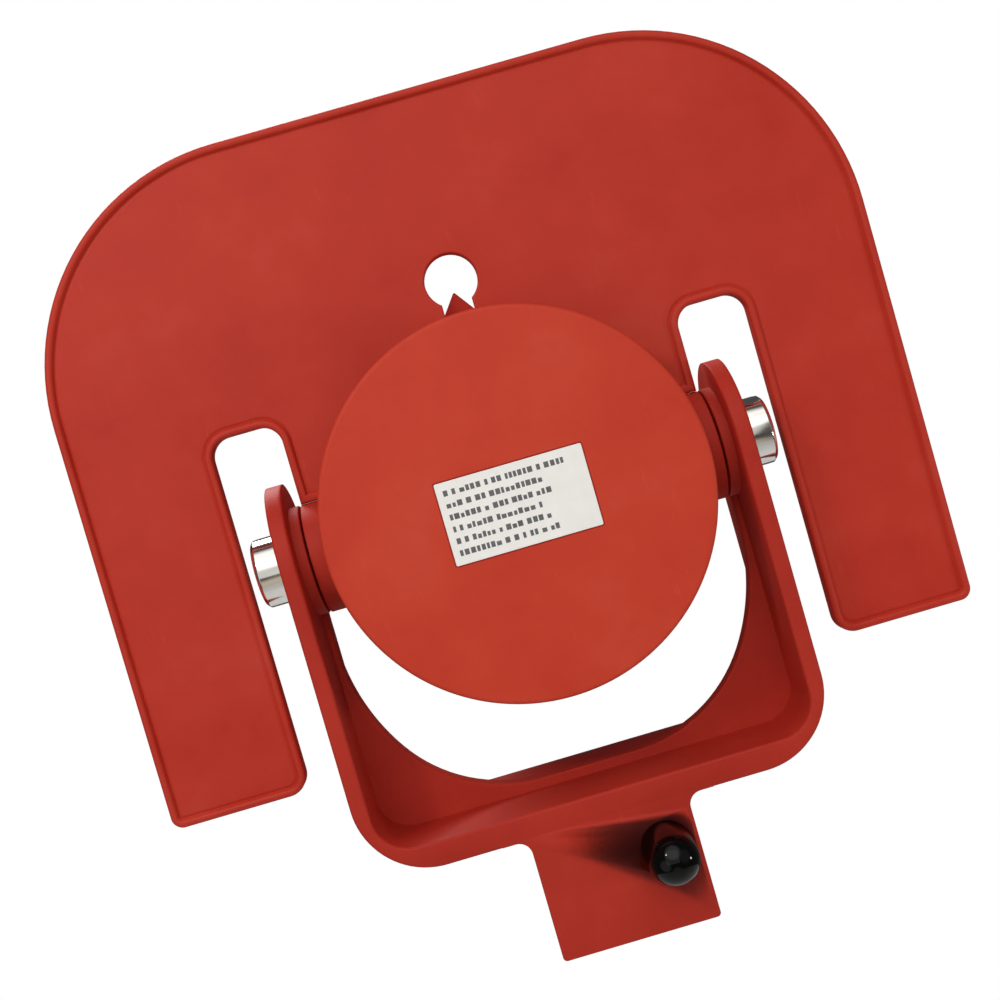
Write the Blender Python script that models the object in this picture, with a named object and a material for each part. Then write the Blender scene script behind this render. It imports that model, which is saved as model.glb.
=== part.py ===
"""A survey prism: a glass corner cube in a tilting housing, a snap-on target plate,
and a yoke that clicks onto a surveyor's 12 mm stub with a spring-loaded lock button.

Frame: metres, +Z up.  The origin is the mouth of the stub socket, on the stem's bottom
face.  The glass looks along -Y, the cover disc is on the +Y side, and the tilt axis runs
along X.  "left" is the -X side and "right" the +X side.
"""

import math

import bmesh
import bpy
from mathutils import Vector

# ---- Driving dimensions, in metres ------------------------------------------------------
GAP = 0.0003                    # clearance between touching solids

AXIS_HEIGHT = 0.086             # tilt axis above the stub shoulder
YOKE_DEPTH = 0.032              # front to rear, and twice the radius of the arm ends
YOKE_OUTER_X = 0.0464
YOKE_INNER_X = 0.0431
YOKE_FLOOR_Z = 0.0242           # underside of the yoke's bottom wall
YOKE_FLOOR_TOP_Z = 0.0292
YOKE_OUTER_RADIUS = 0.0148
YOKE_INNER_RADIUS = 0.007
WEB_REAR_Y = -0.001
WEB_THICKNESS = 0.004
WEB_OPENING_RADIUS = 0.0421
WEB_OPENING_Z = 0.0679          # centre of the round opening in the web
LEDGE_TOP_Z = 0.0312
LEDGE_HALF_WIDTH = 0.022
LEDGE_FRONT_Y = -0.0135
WEB_CORNER = 0.0062             # chamfer of the web's two lower corners
OVERLAP = 0.001                 # how far joined shapes and cutters run past a face
STEM_HALF_WIDTH = 0.0156
STEM_FILLET = 0.0024

BUSH_BORE_RADIUS = 0.00605      # takes the 12 mm stub
BUSH_RADIUS = 0.0075
BUSH_FLANGE_RADIUS = 0.0095
BUSH_FLANGE_THICKNESS = 0.0012
BUSH_TOP_Z = 0.0286

LOCK_X = -0.0092
LOCK_Z = 0.0158
LOCK_TRAVEL = 0.005
LOCK_PIN_RADIUS = 0.004
LOCK_PIN_FRONT_Y = -0.008
LOCK_PIN_NECK_RADIUS = 0.0027
LOCK_PIN_NECK_END_Y = 0.022
KNOB_POCKET_CLEARANCE = 0.00035
LOCK_BORE_END_Y = -0.0134
KNOB_RADIUS = 0.00505
KNOB_TIP_RADIUS = 0.0048
KNOB_FOOT_Y = 0.0135
KNOB_TIP_Y = 0.031
SPRING_WIRE_RADIUS = 0.0003
SPRING_RADIUS = 0.00125
SPRING_HOLE_RADIUS = 0.0019
SPRING_HOLE_END_Y = 0.003
SPRING_TURNS = 9
STOP_PIN_Y = -0.005
STOP_PIN_RADIUS = 0.001

TRUNNION_RADIUS = 0.011
TRUNNION_FACE_X = 0.04145
ARM_BOSS_FACE_X = 0.04185
WASHER_RADIUS = 0.008
WASHER_THICKNESS = 0.0011
SCREW_SHANK_RADIUS = 0.003
SCREW_HEAD_RADIUS = 0.0069
SCREW_HEAD_IN_X = 0.0467
SCREW_HEAD_OUT_X = 0.0527
INSERT_RADIUS = 0.0055
INSERT_IN_X = 0.0293
INSERT_OUT_X = 0.0405
BUSH_BORE_CLEARANCE = 0.00015   # between a friction washer and the pivot bush behind it
PIVOT_BUSH_RADIUS = 0.0047
PIVOT_BORE_RADIUS = 0.005
SPRING_WASHER_RADIUS = 0.0059
SPRING_WASHER_SEAT_RADIUS = 0.0063
COIN_SLOT_DEPTH = 0.0018
COIN_SLOT_HALF_WIDTH = 0.0009

BARREL_RADIUS = 0.0345
BARREL_FRONT_Y = -0.0415
BARREL_REAR_Y = -0.006
WAIST_RADIUS = 0.0323
COVER_RADIUS = 0.03715
COVER_FRONT_Y = 0.0116           # clears the trunnions
COVER_REAR_Y = 0.020
SKIRT_RADIUS = 0.0342           # inside of the cover's skirt
SHELL_REAR_Y = 0.0154
SEAL_Y = 0.0132                 # middle of the cover seal's groove
SEAL_GROOVE_RADIUS = 0.0326
SEAL_GROOVE_HALF = 0.0008
GLASS_RADIUS = 0.031
GLASS_FRONT_Y = -0.0394
GLASS_VERTEX_Y = 0.010
GLASS_CLEARANCE = 0.0004
SHELL_BORE_RADIUS = 0.0294      # the housing behind the glass's rim
SHELL_BORE_END_Y = -0.0100
GLASS_SEAT_Y = -0.0120
THREAD_RADIUS = 0.0329          # widening at the front, for the retaining ring
THREAD_END_Y = -0.0367
RING_OUTER_RADIUS = 0.0326
RING_BORE_RADIUS = 0.0294
RING_LIP_RADIUS = 0.0314
RING_LIP_Y = -0.0406
RING_REAR_Y = -0.0370
NOTCH_RADIUS = 0.031            # where the ring's two spanner notches stand
NOTCH_HALF_HEIGHT = 0.0012
FRONT_SEAL_IN = 0.0299
FRONT_SEAL_OUT = 0.0309
FRONT_SEAL_LOW_Y = -0.0403
FRONT_SEAL_HIGH_Y = -0.0397
CUP_RADIUS = 0.020
CUP_FRONT_Y = -0.002
CUP_REAR_Y = 0.0135
WAVE_SPRING_IN = 0.0125
WAVE_SPRING_OUT = 0.0165
WAVE_SPRING_Y = 0.0154
WAVE_SPRING_SWING = 0.0012
COVER_INSIDE_Y = 0.0173
LABEL_SIZE = (0.0283, 0.0157)
LABEL_RECESS_DEPTH = 0.0008
LABEL_THICKNESS = 0.0006
POINTER_HEIGHT = 0.0433         # apex above the tilt axis
POINTER_BASE = 0.0332
POINTER_HALF_ANGLE = math.radians(33.0)

PLATE_HALF_WIDTH = 0.0825
PLATE_TOP = 0.0833              # heights on the plate are measured from the tilt axis
PLATE_BOTTOM = -0.0437
PLATE_CORNER = 0.045
PLATE_THICKNESS = 0.003
RIM_WIDTH = 0.0016
RIM_HEIGHT = 0.0008
SLOT_IN_X = 0.0405
SLOT_OUT_X = 0.0546
SLOT_TOP = 0.0277
SLOT_CORNER = 0.004
FOOT_BOTTOM = 0.0113            # the panel's feet rest on the trunnions
ARCH_RADIUS = 0.033
SIGHT_RADIUS = 0.00524
SIGHT_HEIGHT = 0.0452
SIGHT_NECK = 0.0061
LEG_OUTER_CORNER = 0.0024
LEG_INNER_CORNER = 0.004
WEDGE_APEX_X = 0.058
WEDGE_BASE_X = 0.079
WEDGE_HALF_HEIGHT = 0.011
TOP_WEDGE_APEX = 0.0545
TOP_WEDGE_BASE = 0.0755
FOIL_THICKNESS = 0.0003

LARGE_STEPS = 56                # sides of the large round parts
SMALL_STEPS = 28                # sides of the small ones

RED = (0.42, 0.050, 0.030)


# ---- Helpers ----------------------------------------------------------------------------
def finish(name, colour, roughness, metallic=0.0, transmission=0.0):
    """A plain Principled material."""
    material = bpy.data.materials.new(name)
    material.use_nodes = True
    shader = material.node_tree.nodes["Principled BSDF"]
    shader.inputs["Base Color"].default_value = (*colour, 1.0)
    shader.inputs["Roughness"].default_value = roughness
    shader.inputs["Metallic"].default_value = metallic
    shader.inputs["Transmission Weight"].default_value = transmission
    return material


def group_empty(name, location, parent=None):
    """An empty at a joint's axis, which the pieces of one moving group hang from."""
    empty = bpy.data.objects.new(name, None)
    empty.empty_display_size = 0.01
    empty.location = Vector(location) - (parent.location if parent else Vector())
    empty.parent = parent
    bpy.context.scene.collection.objects.link(empty)
    return empty


def make_object(name, mesh_edit, parent, material):
    """Turn an edited mesh into an object of its group, shaded smooth on its round faces."""
    bmesh.ops.remove_doubles(mesh_edit, verts=mesh_edit.verts, dist=1e-7)
    bmesh.ops.recalc_face_normals(mesh_edit, faces=mesh_edit.faces)
    mesh = bpy.data.meshes.new(name)
    mesh_edit.to_mesh(mesh)
    mesh_edit.free()
    mesh.shade_smooth()
    mesh.set_sharp_from_angle(angle=math.radians(32.0))
    piece = bpy.data.objects.new(name, mesh)
    piece.parent = parent
    bpy.context.scene.collection.objects.link(piece)
    if material:
        mesh.materials.append(material)
    return piece


def to_space(axis, u, v, along):
    """Place outline coordinates (u, v) and a distance along X, Y or Z."""
    if axis == "X":
        return Vector((along, u, v))
    if axis == "Y":
        return Vector((u, along, v))
    return Vector((u, v, along))


def extruded(name, outline, axis, low, high, parent, material=None):
    """A flat outline pushed from low to high along an axis."""
    mesh_edit = bmesh.new()
    verts = [mesh_edit.verts.new(to_space(axis, u, v, low)) for u, v in outline]
    face = mesh_edit.faces.new(verts)
    pushed = bmesh.ops.extrude_face_region(mesh_edit, geom=[face])
    moved = [item for item in pushed["geom"] if isinstance(item, bmesh.types.BMVert)]
    bmesh.ops.translate(mesh_edit, verts=moved, vec=to_space(axis, 0.0, 0.0, high - low))
    return make_object(name, mesh_edit, parent, material)


def turned(name, profile, axis, parent, material=None, steps=LARGE_STEPS, centre=(0.0, 0.0)):
    """A profile of (radius, distance along the axis) points turned about the axis."""
    mesh_edit = bmesh.new()
    verts = []
    for radius, along in profile:
        verts.append(mesh_edit.verts.new(to_space(axis, centre[0] + radius, centre[1], along)))
    edges = [mesh_edit.edges.new(pair) for pair in zip(verts, verts[1:])]
    if profile[0][0] > 0.0 or profile[-1][0] > 0.0:
        edges.append(mesh_edit.edges.new((verts[-1], verts[0])))
    bmesh.ops.spin(
        mesh_edit,
        geom=verts + edges,
        cent=to_space(axis, centre[0], centre[1], 0.0),
        axis=to_space(axis, 0.0, 0.0, 1.0),
        angle=2.0 * math.pi,
        steps=steps,
        use_merge=True,
    )
    return make_object(name, mesh_edit, parent, material)


def cylinder(name, radius, axis, low, high, parent, steps=SMALL_STEPS, centre=(0.0, 0.0)):
    """A plain cylinder, used as a cutter or as a body to join on."""
    profile = [(0.0, low), (radius, low), (radius, high), (0.0, high)]
    return turned(name, profile, axis, parent, steps=steps, centre=centre)


def block(name, lows, highs, parent):
    """A rectangular block between two corners."""
    outline = [(lows[0], lows[2]), (highs[0], lows[2]), (highs[0], highs[2]), (lows[0], highs[2])]
    return extruded(name, outline, "Y", lows[1], highs[1], parent)


def combine(piece, tool, operation):
    """Cut, join or trim a piece with a tool, which stays in the scene as a wire guide."""
    tool.hide_render = True
    tool.display_type = "WIRE"
    modifier = piece.modifiers.new(tool.name, "BOOLEAN")
    modifier.operation = operation
    modifier.solver = "EXACT"
    modifier.object = tool


def tube_profile(inner, outer, low, high):
    """The section of a plain tube."""
    return [(inner, low), (outer, low), (outer, high), (inner, high)]


def mirrored(profile, sign):
    """A turned profile put on the side that sign says."""
    return [(radius, sign * along) for radius, along in profile]


def stepped_bore(steps):
    """The profile of a bore from its steps, each (radius, from, to)."""
    profile = [(0.0, steps[0][1])]
    for radius, low, high in steps:
        profile += [(radius, low), (radius, high)]
    return profile + [(0.0, steps[-1][2])]


def arc(centre, radius, start, end, steps):
    """Points on an arc, from the start angle to the end angle in degrees."""
    points = []
    for step in range(steps + 1):
        angle = math.radians(start + (end - start) * step / steps)
        points.append((centre[0] + radius * math.cos(angle), centre[1] + radius * math.sin(angle)))
    return points


def rounded(corners, steps=6):
    """An outline from (u, v, corner radius) corners, each rounded by an arc that touches
    both of its sides."""
    points = []
    count = len(corners)
    for index, (u, v, radius) in enumerate(corners):
        corner = Vector((u, v))
        if radius == 0.0:
            points.append((u, v))
            continue
        before = (Vector(corners[index - 1][:2]) - corner).normalized()
        after = (Vector(corners[(index + 1) % count][:2]) - corner).normalized()
        half_angle = before.angle(after) / 2.0
        centre = corner + (before + after).normalized() * radius / math.sin(half_angle)
        start = corner + before * radius / math.tan(half_angle) - centre
        end = corner + after * radius / math.tan(half_angle) - centre
        sweep = start.angle_signed(end)
        for step in range(steps + 1):
            turn = -sweep * step / steps
            cosine, sine = math.cos(turn), math.sin(turn)
            points.append((
                centre.x + start.x * cosine - start.y * sine,
                centre.y + start.x * sine + start.y * cosine,
            ))
    return points


# ---- Yoke -------------------------------------------------------------------------------
def yoke_outline():
    """The U of the yoke with the stem below it, as seen from the front."""
    arm_top = AXIS_HEIGHT + YOKE_DEPTH / 2.0 + 0.002
    right = [
        (STEM_HALF_WIDTH, 0.0, 0.0),
        (STEM_HALF_WIDTH, YOKE_FLOOR_Z, STEM_FILLET),
        (YOKE_OUTER_X, YOKE_FLOOR_Z, YOKE_OUTER_RADIUS),
        (YOKE_OUTER_X, arm_top, 0.0),
        (YOKE_INNER_X, arm_top, 0.0),
        (YOKE_INNER_X, YOKE_FLOOR_TOP_Z, YOKE_INNER_RADIUS),
    ]
    left = [(-x, z, radius) for x, z, radius in reversed(right)]
    return rounded(right + left)


def web_outline():
    """The web between the arms: a rectangle with a round opening above a flat ledge."""
    drop = math.degrees(math.asin((WEB_OPENING_Z - LEDGE_TOP_Z) / WEB_OPENING_RADIUS))
    side = YOKE_INNER_X + OVERLAP
    curve = arc((0.0, WEB_OPENING_Z), WEB_OPENING_RADIUS, 180.0, 180.0 + drop, 12)
    curve += arc((0.0, WEB_OPENING_Z), WEB_OPENING_RADIUS, 360.0 - drop, 360.0, 12)
    top = AXIS_HEIGHT
    foot = YOKE_FLOOR_Z + 2.0 * OVERLAP
    outline = [(WEB_OPENING_RADIUS, top), (side, top), (side, foot + WEB_CORNER)]
    outline += [(side - WEB_CORNER, foot), (WEB_CORNER - side, foot), (-side, foot + WEB_CORNER)]
    return outline + [(-side, top), (-WEB_OPENING_RADIUS, top)] + curve


def make_yoke(parent, material):
    half = YOKE_DEPTH / 2.0
    deep = half + OVERLAP
    yoke = extruded("yoke_frame", yoke_outline(), "Y", -deep, deep, parent, material)
    side = [(-half, -OVERLAP), (half, -OVERLAP)]
    side += arc((0.0, AXIS_HEIGHT), half, 0.0, 180.0, 24)
    reach = YOKE_OUTER_X + OVERLAP
    combine(yoke, extruded("arm_end_guide", side, "X", -reach, reach, parent), "INTERSECT")
    web_front = WEB_REAR_Y - WEB_THICKNESS
    web = extruded("web_guide", web_outline(), "Y", web_front, WEB_REAR_Y, parent)
    combine(yoke, web, "UNION")
    ledge = block(
        "ledge_guide",
        (-LEDGE_HALF_WIDTH, LEDGE_FRONT_Y, YOKE_FLOOR_Z + 3.0 * OVERLAP),
        (LEDGE_HALF_WIDTH, WEB_REAR_Y - 2.0 * OVERLAP, LEDGE_TOP_Z),
        parent,
    )
    combine(yoke, ledge, "UNION")
    centre = (0.0, AXIS_HEIGHT)
    washer_seat = ARM_BOSS_FACE_X + WASHER_THICKNESS / 2.0 + BUSH_BORE_CLEARANCE
    for side_name, sign in (("left", -1.0), ("right", 1.0)):
        boss = cylinder(
            f"arm_boss_{side_name}", TRUNNION_RADIUS, "X",
            sign * ARM_BOSS_FACE_X, sign * (YOKE_INNER_X + OVERLAP), parent, 32, centre,
        )
        combine(yoke, boss, "UNION")
        bore = stepped_bore([
            (WASHER_RADIUS + GAP, ARM_BOSS_FACE_X - OVERLAP, washer_seat),
            (PIVOT_BORE_RADIUS, washer_seat, YOKE_OUTER_X - OVERLAP),
            (SPRING_WASHER_SEAT_RADIUS, YOKE_OUTER_X - OVERLAP, YOKE_OUTER_X + OVERLAP),
        ])
        tool = turned(f"pivot_bore_{side_name}", mirrored(bore, sign), "X", parent,
                      steps=SMALL_STEPS, centre=centre)
        combine(yoke, tool, "DIFFERENCE")
    socket = [
        (0.0, -OVERLAP),
        (BUSH_FLANGE_RADIUS + GAP, -OVERLAP),
        (BUSH_FLANGE_RADIUS + GAP, BUSH_FLANGE_THICKNESS + GAP),
        (BUSH_RADIUS + GAP, BUSH_FLANGE_THICKNESS + GAP),
        (BUSH_RADIUS + GAP, BUSH_TOP_Z + GAP),
        (0.0, BUSH_TOP_Z + GAP),
    ]
    combine(yoke, turned("socket_cutter", socket, "Z", parent, steps=32), "DIFFERENCE")
    return yoke


def lock_bore_profile():
    """The stepped bore of the lock: a pin bore, then a wider pocket for the knob."""
    pin_bore = LOCK_PIN_RADIUS + GAP
    pocket = KNOB_RADIUS + KNOB_POCKET_CLEARANCE
    pocket_floor = KNOB_FOOT_Y - LOCK_TRAVEL - 0.0005
    rear = YOKE_DEPTH / 2.0 + OVERLAP
    return [
        (0.0, LOCK_BORE_END_Y),
        (pin_bore, LOCK_BORE_END_Y),
        (pin_bore, pocket_floor),
        (pocket, pocket_floor),
        (pocket, rear),
        (0.0, rear),
    ]


def make_socket_parts(yoke, parent, steel):
    bush_profile = [
        (BUSH_BORE_RADIUS, 0.0),
        (BUSH_FLANGE_RADIUS, 0.0),
        (BUSH_FLANGE_RADIUS, BUSH_FLANGE_THICKNESS),
        (BUSH_RADIUS, BUSH_FLANGE_THICKNESS),
        (BUSH_RADIUS, BUSH_TOP_Z),
        (BUSH_BORE_RADIUS, BUSH_TOP_Z),
    ]
    bush = turned("stub_bush", bush_profile, "Z", parent, steel, 32)
    centre = (LOCK_X, LOCK_Z)
    bore = turned("lock_bore_cutter", lock_bore_profile(), "Y", parent, steps=24, centre=centre)
    combine(yoke, bore, "DIFFERENCE")
    combine(bush, bore, "DIFFERENCE")
    hole_centre = (STOP_PIN_Y, LOCK_Z)
    outer = -STEM_HALF_WIDTH - OVERLAP
    tool = cylinder(
        "stop_pin_hole", STOP_PIN_RADIUS + GAP, "X", outer, LOCK_X - 0.0025, parent, 16, hole_centre,
    )
    combine(yoke, tool, "DIFFERENCE")
    pin_profile = [
        (0.0, -STEM_HALF_WIDTH + 0.0002),
        (STOP_PIN_RADIUS, -STEM_HALF_WIDTH + 0.0002),
        (STOP_PIN_RADIUS, LOCK_X - 0.0032),
        (0.0, LOCK_X - 0.0032),
    ]
    turned("lock_stop_pin", pin_profile, "X", parent, steel, 16, hole_centre)


def make_lock_button(parent, steel, black):
    """The lock pin and its knob, about their own axis along Y.  A scallop in the pin
    lines up with the socket when the knob is pressed, and lets the stub go."""
    shoulder = KNOB_FOOT_Y - GAP
    neck_end = LOCK_PIN_NECK_END_Y
    pin_profile = [
        (0.0, LOCK_PIN_FRONT_Y),
        (LOCK_PIN_RADIUS, LOCK_PIN_FRONT_Y),
        (LOCK_PIN_RADIUS, shoulder),
        (LOCK_PIN_NECK_RADIUS, shoulder),
        (LOCK_PIN_NECK_RADIUS, neck_end),
        (0.0, neck_end),
    ]
    pin = turned("lock_pin", pin_profile, "Y", parent, steel, 24)
    scallop = cylinder(
        "release_scallop", BUSH_BORE_RADIUS + GAP, "Z", -0.006, 0.006, parent, 32,
        (-LOCK_X, LOCK_TRAVEL),
    )
    combine(pin, scallop, "DIFFERENCE")
    hole = cylinder(
        "spring_hole", SPRING_HOLE_RADIUS, "Y", LOCK_PIN_FRONT_Y - OVERLAP, SPRING_HOLE_END_Y,
        parent, 16,
    )
    combine(pin, hole, "DIFFERENCE")
    slot_half = STOP_PIN_RADIUS + 0.0004
    slot = block(
        "stop_slot",
        (-0.006, STOP_PIN_Y - slot_half, -slot_half),
        (-0.0027, STOP_PIN_Y + slot_half + LOCK_TRAVEL, slot_half),
        parent,
    )
    combine(pin, slot, "DIFFERENCE")
    dome_base = KNOB_TIP_Y - KNOB_TIP_RADIUS
    dome = arc((0.0, dome_base), KNOB_TIP_RADIUS, 0.0, 90.0, 7)[:-1]
    knob_profile = [
        (LOCK_PIN_NECK_RADIUS + GAP, KNOB_FOOT_Y),
        (KNOB_RADIUS - 0.0004, KNOB_FOOT_Y),
        (KNOB_RADIUS, KNOB_FOOT_Y + 0.0004),
        (KNOB_RADIUS, KNOB_FOOT_Y + 0.003),
        *dome,
        (0.0, KNOB_TIP_Y),
        (0.0, neck_end + GAP),
        (LOCK_PIN_NECK_RADIUS + GAP, neck_end + GAP),
    ]
    make_knob(knob_profile, parent, black)


def make_knob(profile, parent, black):
    """The domed knob: its profile meets the axis at the dome and at the bore's end, so the
    run of points between them is turned as an open chain."""
    tip = next(index for index, point in enumerate(profile) if point[0] == 0.0)
    chain = profile[tip + 1:] + profile[:tip + 1]
    turned("lock_knob", chain, "Y", parent, black, 28)


def make_spring(name, radius, wire, low, high, turns, parent, material, sides=6):
    """A compression spring along Y: rings of the wire's section carried up a helix."""
    mesh_edit = bmesh.new()
    per_turn = 12
    count = turns * per_turn
    rings = []
    for index in range(count + 1):
        angle = 2.0 * math.pi * index / per_turn
        along = low + wire + (high - low - 2.0 * wire) * index / count
        outward = Vector((math.cos(angle), 0.0, math.sin(angle)))
        middle = outward * radius + Vector((0.0, along, 0.0))
        ring = []
        for side in range(sides):
            turn = 2.0 * math.pi * side / sides
            offset = outward * math.cos(turn) + Vector((0.0, math.sin(turn), 0.0))
            ring.append(mesh_edit.verts.new(middle + offset * wire))
        rings.append(ring)
    for ring, following in zip(rings, rings[1:]):
        for side in range(sides):
            nxt = (side + 1) % sides
            mesh_edit.faces.new((ring[side], ring[nxt], following[nxt], following[side]))
    mesh_edit.faces.new(rings[0])
    mesh_edit.faces.new(rings[-1])
    return make_object(name, mesh_edit, parent, material)


# ---- Prism housing ----------------------------------------------------------------------
def make_housing(parent, material):
    groove = SKIRT_RADIUS - GAP
    shell_profile = [
        (THREAD_RADIUS, BARREL_FRONT_Y),
        (BARREL_RADIUS - 0.0008, BARREL_FRONT_Y),
        (BARREL_RADIUS, BARREL_FRONT_Y + 0.0008),
        (BARREL_RADIUS, BARREL_REAR_Y),
        (WAIST_RADIUS, BARREL_REAR_Y),
        (WAIST_RADIUS, COVER_FRONT_Y - GAP),
        (groove, COVER_FRONT_Y - GAP),
        (groove, SEAL_Y - SEAL_GROOVE_HALF),
        (SEAL_GROOVE_RADIUS, SEAL_Y - SEAL_GROOVE_HALF),
        (SEAL_GROOVE_RADIUS, SEAL_Y + SEAL_GROOVE_HALF),
        (groove, SEAL_Y + SEAL_GROOVE_HALF),
        (groove, SHELL_REAR_Y),
        (SHELL_BORE_RADIUS, SHELL_REAR_Y),
        (SHELL_BORE_RADIUS, SHELL_BORE_END_Y),
        (GLASS_RADIUS + GLASS_CLEARANCE, GLASS_SEAT_Y),
        (GLASS_RADIUS + GLASS_CLEARANCE, THREAD_END_Y),
        (THREAD_RADIUS, THREAD_END_Y),
    ]
    housing = turned("prism_housing", shell_profile, "Y", parent, material)
    seat = TRUNNION_FACE_X - WASHER_THICKNESS / 2.0 - 0.00005
    for side_name, sign in (("left", -1.0), ("right", 1.0)):
        trunnion = cylinder(
            f"trunnion_{side_name}", TRUNNION_RADIUS, "X",
            sign * 0.0262, sign * TRUNNION_FACE_X, parent, 32,
        )
        combine(housing, trunnion, "UNION")
        bore = stepped_bore([
            (SCREW_SHANK_RADIUS + 0.0006, 0.025, INSERT_IN_X - GAP),
            (INSERT_RADIUS + GAP, INSERT_IN_X - GAP, seat),
            (WASHER_RADIUS + GAP, seat, TRUNNION_FACE_X + OVERLAP),
        ])
        tool = turned(f"trunnion_bore_{side_name}", mirrored(bore, sign), "X", parent,
                      steps=SMALL_STEPS)
        combine(housing, tool, "DIFFERENCE")
    base = POINTER_BASE
    half_base = (POINTER_HEIGHT - base) * math.tan(POINTER_HALF_ANGLE)
    pointer = [(-half_base, base), (half_base, base), (0.0, POINTER_HEIGHT)]
    combine(
        housing,
        extruded("pointer_guide", pointer, "Y", BARREL_REAR_Y - 0.003, BARREL_REAR_Y + 0.0012, parent),
        "UNION",
    )
    return housing


def make_cover(parent, red, rubber, paper):
    profile = [
        (0.0, COVER_REAR_Y),
        (COVER_RADIUS - 0.001, COVER_REAR_Y),
        (COVER_RADIUS - 0.0003, COVER_REAR_Y - 0.0003),
        (COVER_RADIUS, COVER_REAR_Y - 0.001),
        (COVER_RADIUS, COVER_FRONT_Y),
        (SKIRT_RADIUS, COVER_FRONT_Y),
        (SKIRT_RADIUS, COVER_INSIDE_Y),
        (0.0, COVER_INSIDE_Y),
    ]
    cover = turned("rear_cover", profile, "Y", parent, red)
    half_width, half_height = LABEL_SIZE[0] / 2.0, LABEL_SIZE[1] / 2.0
    recess = block(
        "label_recess",
        (-half_width - GAP, COVER_REAR_Y - LABEL_RECESS_DEPTH, -half_height - GAP),
        (half_width + GAP, COVER_REAR_Y + OVERLAP, half_height + GAP),
        parent,
    )
    combine(cover, recess, "DIFFERENCE")
    outline = [
        (-half_width, -half_height), (half_width, -half_height),
        (half_width, half_height), (-half_width, half_height),
    ]
    label_low = COVER_REAR_Y - LABEL_RECESS_DEPTH + GAP
    label_high = label_low + LABEL_THICKNESS
    extruded("label_plate", outline, "Y", label_low, label_high, parent, paper)
    seal_radius = SEAL_GROOVE_HALF - GAP
    ring = arc((SEAL_GROOVE_RADIUS + SEAL_GROOVE_HALF, SEAL_Y), seal_radius, 0.0, 315.0, 7)
    turned("cover_seal", ring, "Y", parent, rubber, 48)


def make_glass(parent, glass, black, steel, rubber):
    """The corner cube and what holds it: seal and ring in front, cup and spring behind."""
    body = [
        (0.0, GLASS_FRONT_Y),
        (GLASS_RADIUS - 0.0004, GLASS_FRONT_Y),
        (GLASS_RADIUS, GLASS_FRONT_Y + 0.0004),
        (GLASS_RADIUS, GLASS_VERTEX_Y + 0.005),
        (0.0, GLASS_VERTEX_Y + 0.005),
    ]
    prism = turned("prism_glass", body, "Y", parent, glass)
    combine(prism, corner_pyramid("cube_corner", GLASS_VERTEX_Y, parent), "INTERSECT")
    cup_profile = [
        (0.0, CUP_FRONT_Y),
        (CUP_RADIUS, CUP_FRONT_Y),
        (CUP_RADIUS, CUP_REAR_Y - OVERLAP),
        (CUP_RADIUS - OVERLAP, CUP_REAR_Y),
        (0.0, CUP_REAR_Y),
    ]
    cup = turned("pressure_cup", cup_profile, "Y", parent, black, 40)
    combine(cup, corner_pyramid("cup_cutter", GLASS_VERTEX_Y + 0.0006, parent), "DIFFERENCE")
    make_wave_spring(parent, steel)
    seal = tube_profile(FRONT_SEAL_IN, FRONT_SEAL_OUT, FRONT_SEAL_LOW_Y, FRONT_SEAL_HIGH_Y)
    turned("front_seal", seal, "Y", parent, rubber, 48)
    ring_profile = [
        (RING_BORE_RADIUS, BARREL_FRONT_Y + 0.0003),
        (RING_BORE_RADIUS + 0.0004, BARREL_FRONT_Y),
        (RING_OUTER_RADIUS, BARREL_FRONT_Y),
        (RING_OUTER_RADIUS, RING_REAR_Y),
        (RING_LIP_RADIUS, RING_REAR_Y),
        (RING_LIP_RADIUS, RING_LIP_Y),
        (RING_BORE_RADIUS, RING_LIP_Y),
    ]
    ring = turned("retaining_ring", ring_profile, "Y", parent, black)
    for side_name, sign in (("left", -1.0), ("right", 1.0)):
        notch = block(
            f"spanner_notch_{side_name}",
            (sign * NOTCH_RADIUS - 0.001, BARREL_FRONT_Y - OVERLAP, -NOTCH_HALF_HEIGHT),
            (sign * NOTCH_RADIUS + 0.001, BARREL_FRONT_Y + 0.0005, NOTCH_HALF_HEIGHT),
            parent,
        )
        combine(ring, notch, "DIFFERENCE")


def corner_pyramid(name, vertex_y, parent):
    """A three-sided pyramid of square corners, its vertex at the rear and one edge up.
    Its edges lie sqrt(2) out for each 1 along the axis."""
    mesh_edit = bmesh.new()
    depth = 0.060
    reach = depth * math.sqrt(2.0)
    apex = mesh_edit.verts.new((0.0, vertex_y, 0.0))
    base = []
    for index in range(3):
        angle = math.radians(90.0 + 120.0 * index)
        place = (reach * math.cos(angle), vertex_y - depth, reach * math.sin(angle))
        base.append(mesh_edit.verts.new(place))
    for index in range(3):
        mesh_edit.faces.new((apex, base[index], base[(index + 1) % 3]))
    mesh_edit.faces.new(base)
    return make_object(name, mesh_edit, parent, None)


def make_wave_spring(parent, material):
    """A flat ring with three waves, between the cup and the cover."""
    mesh_edit = bmesh.new()
    steps = 36
    inner, outer = WAVE_SPRING_IN, WAVE_SPRING_OUT
    half_thickness = 0.0003
    rings = []
    for step in range(steps):
        angle = 2.0 * math.pi * step / steps
        along = WAVE_SPRING_Y + WAVE_SPRING_SWING * math.sin(3.0 * angle)
        ring = []
        for radius, offset in ((inner, -1), (outer, -1), (outer, 1), (inner, 1)):
            place = (radius * math.cos(angle), along + offset * half_thickness, radius * math.sin(angle))
            ring.append(mesh_edit.verts.new(place))
        rings.append(ring)
    for index, ring in enumerate(rings):
        following = rings[(index + 1) % steps]
        for side in range(4):
            nxt = (side + 1) % 4
            mesh_edit.faces.new((ring[side], ring[nxt], following[nxt], following[side]))
    make_object("wave_spring", mesh_edit, parent, material)


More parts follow.
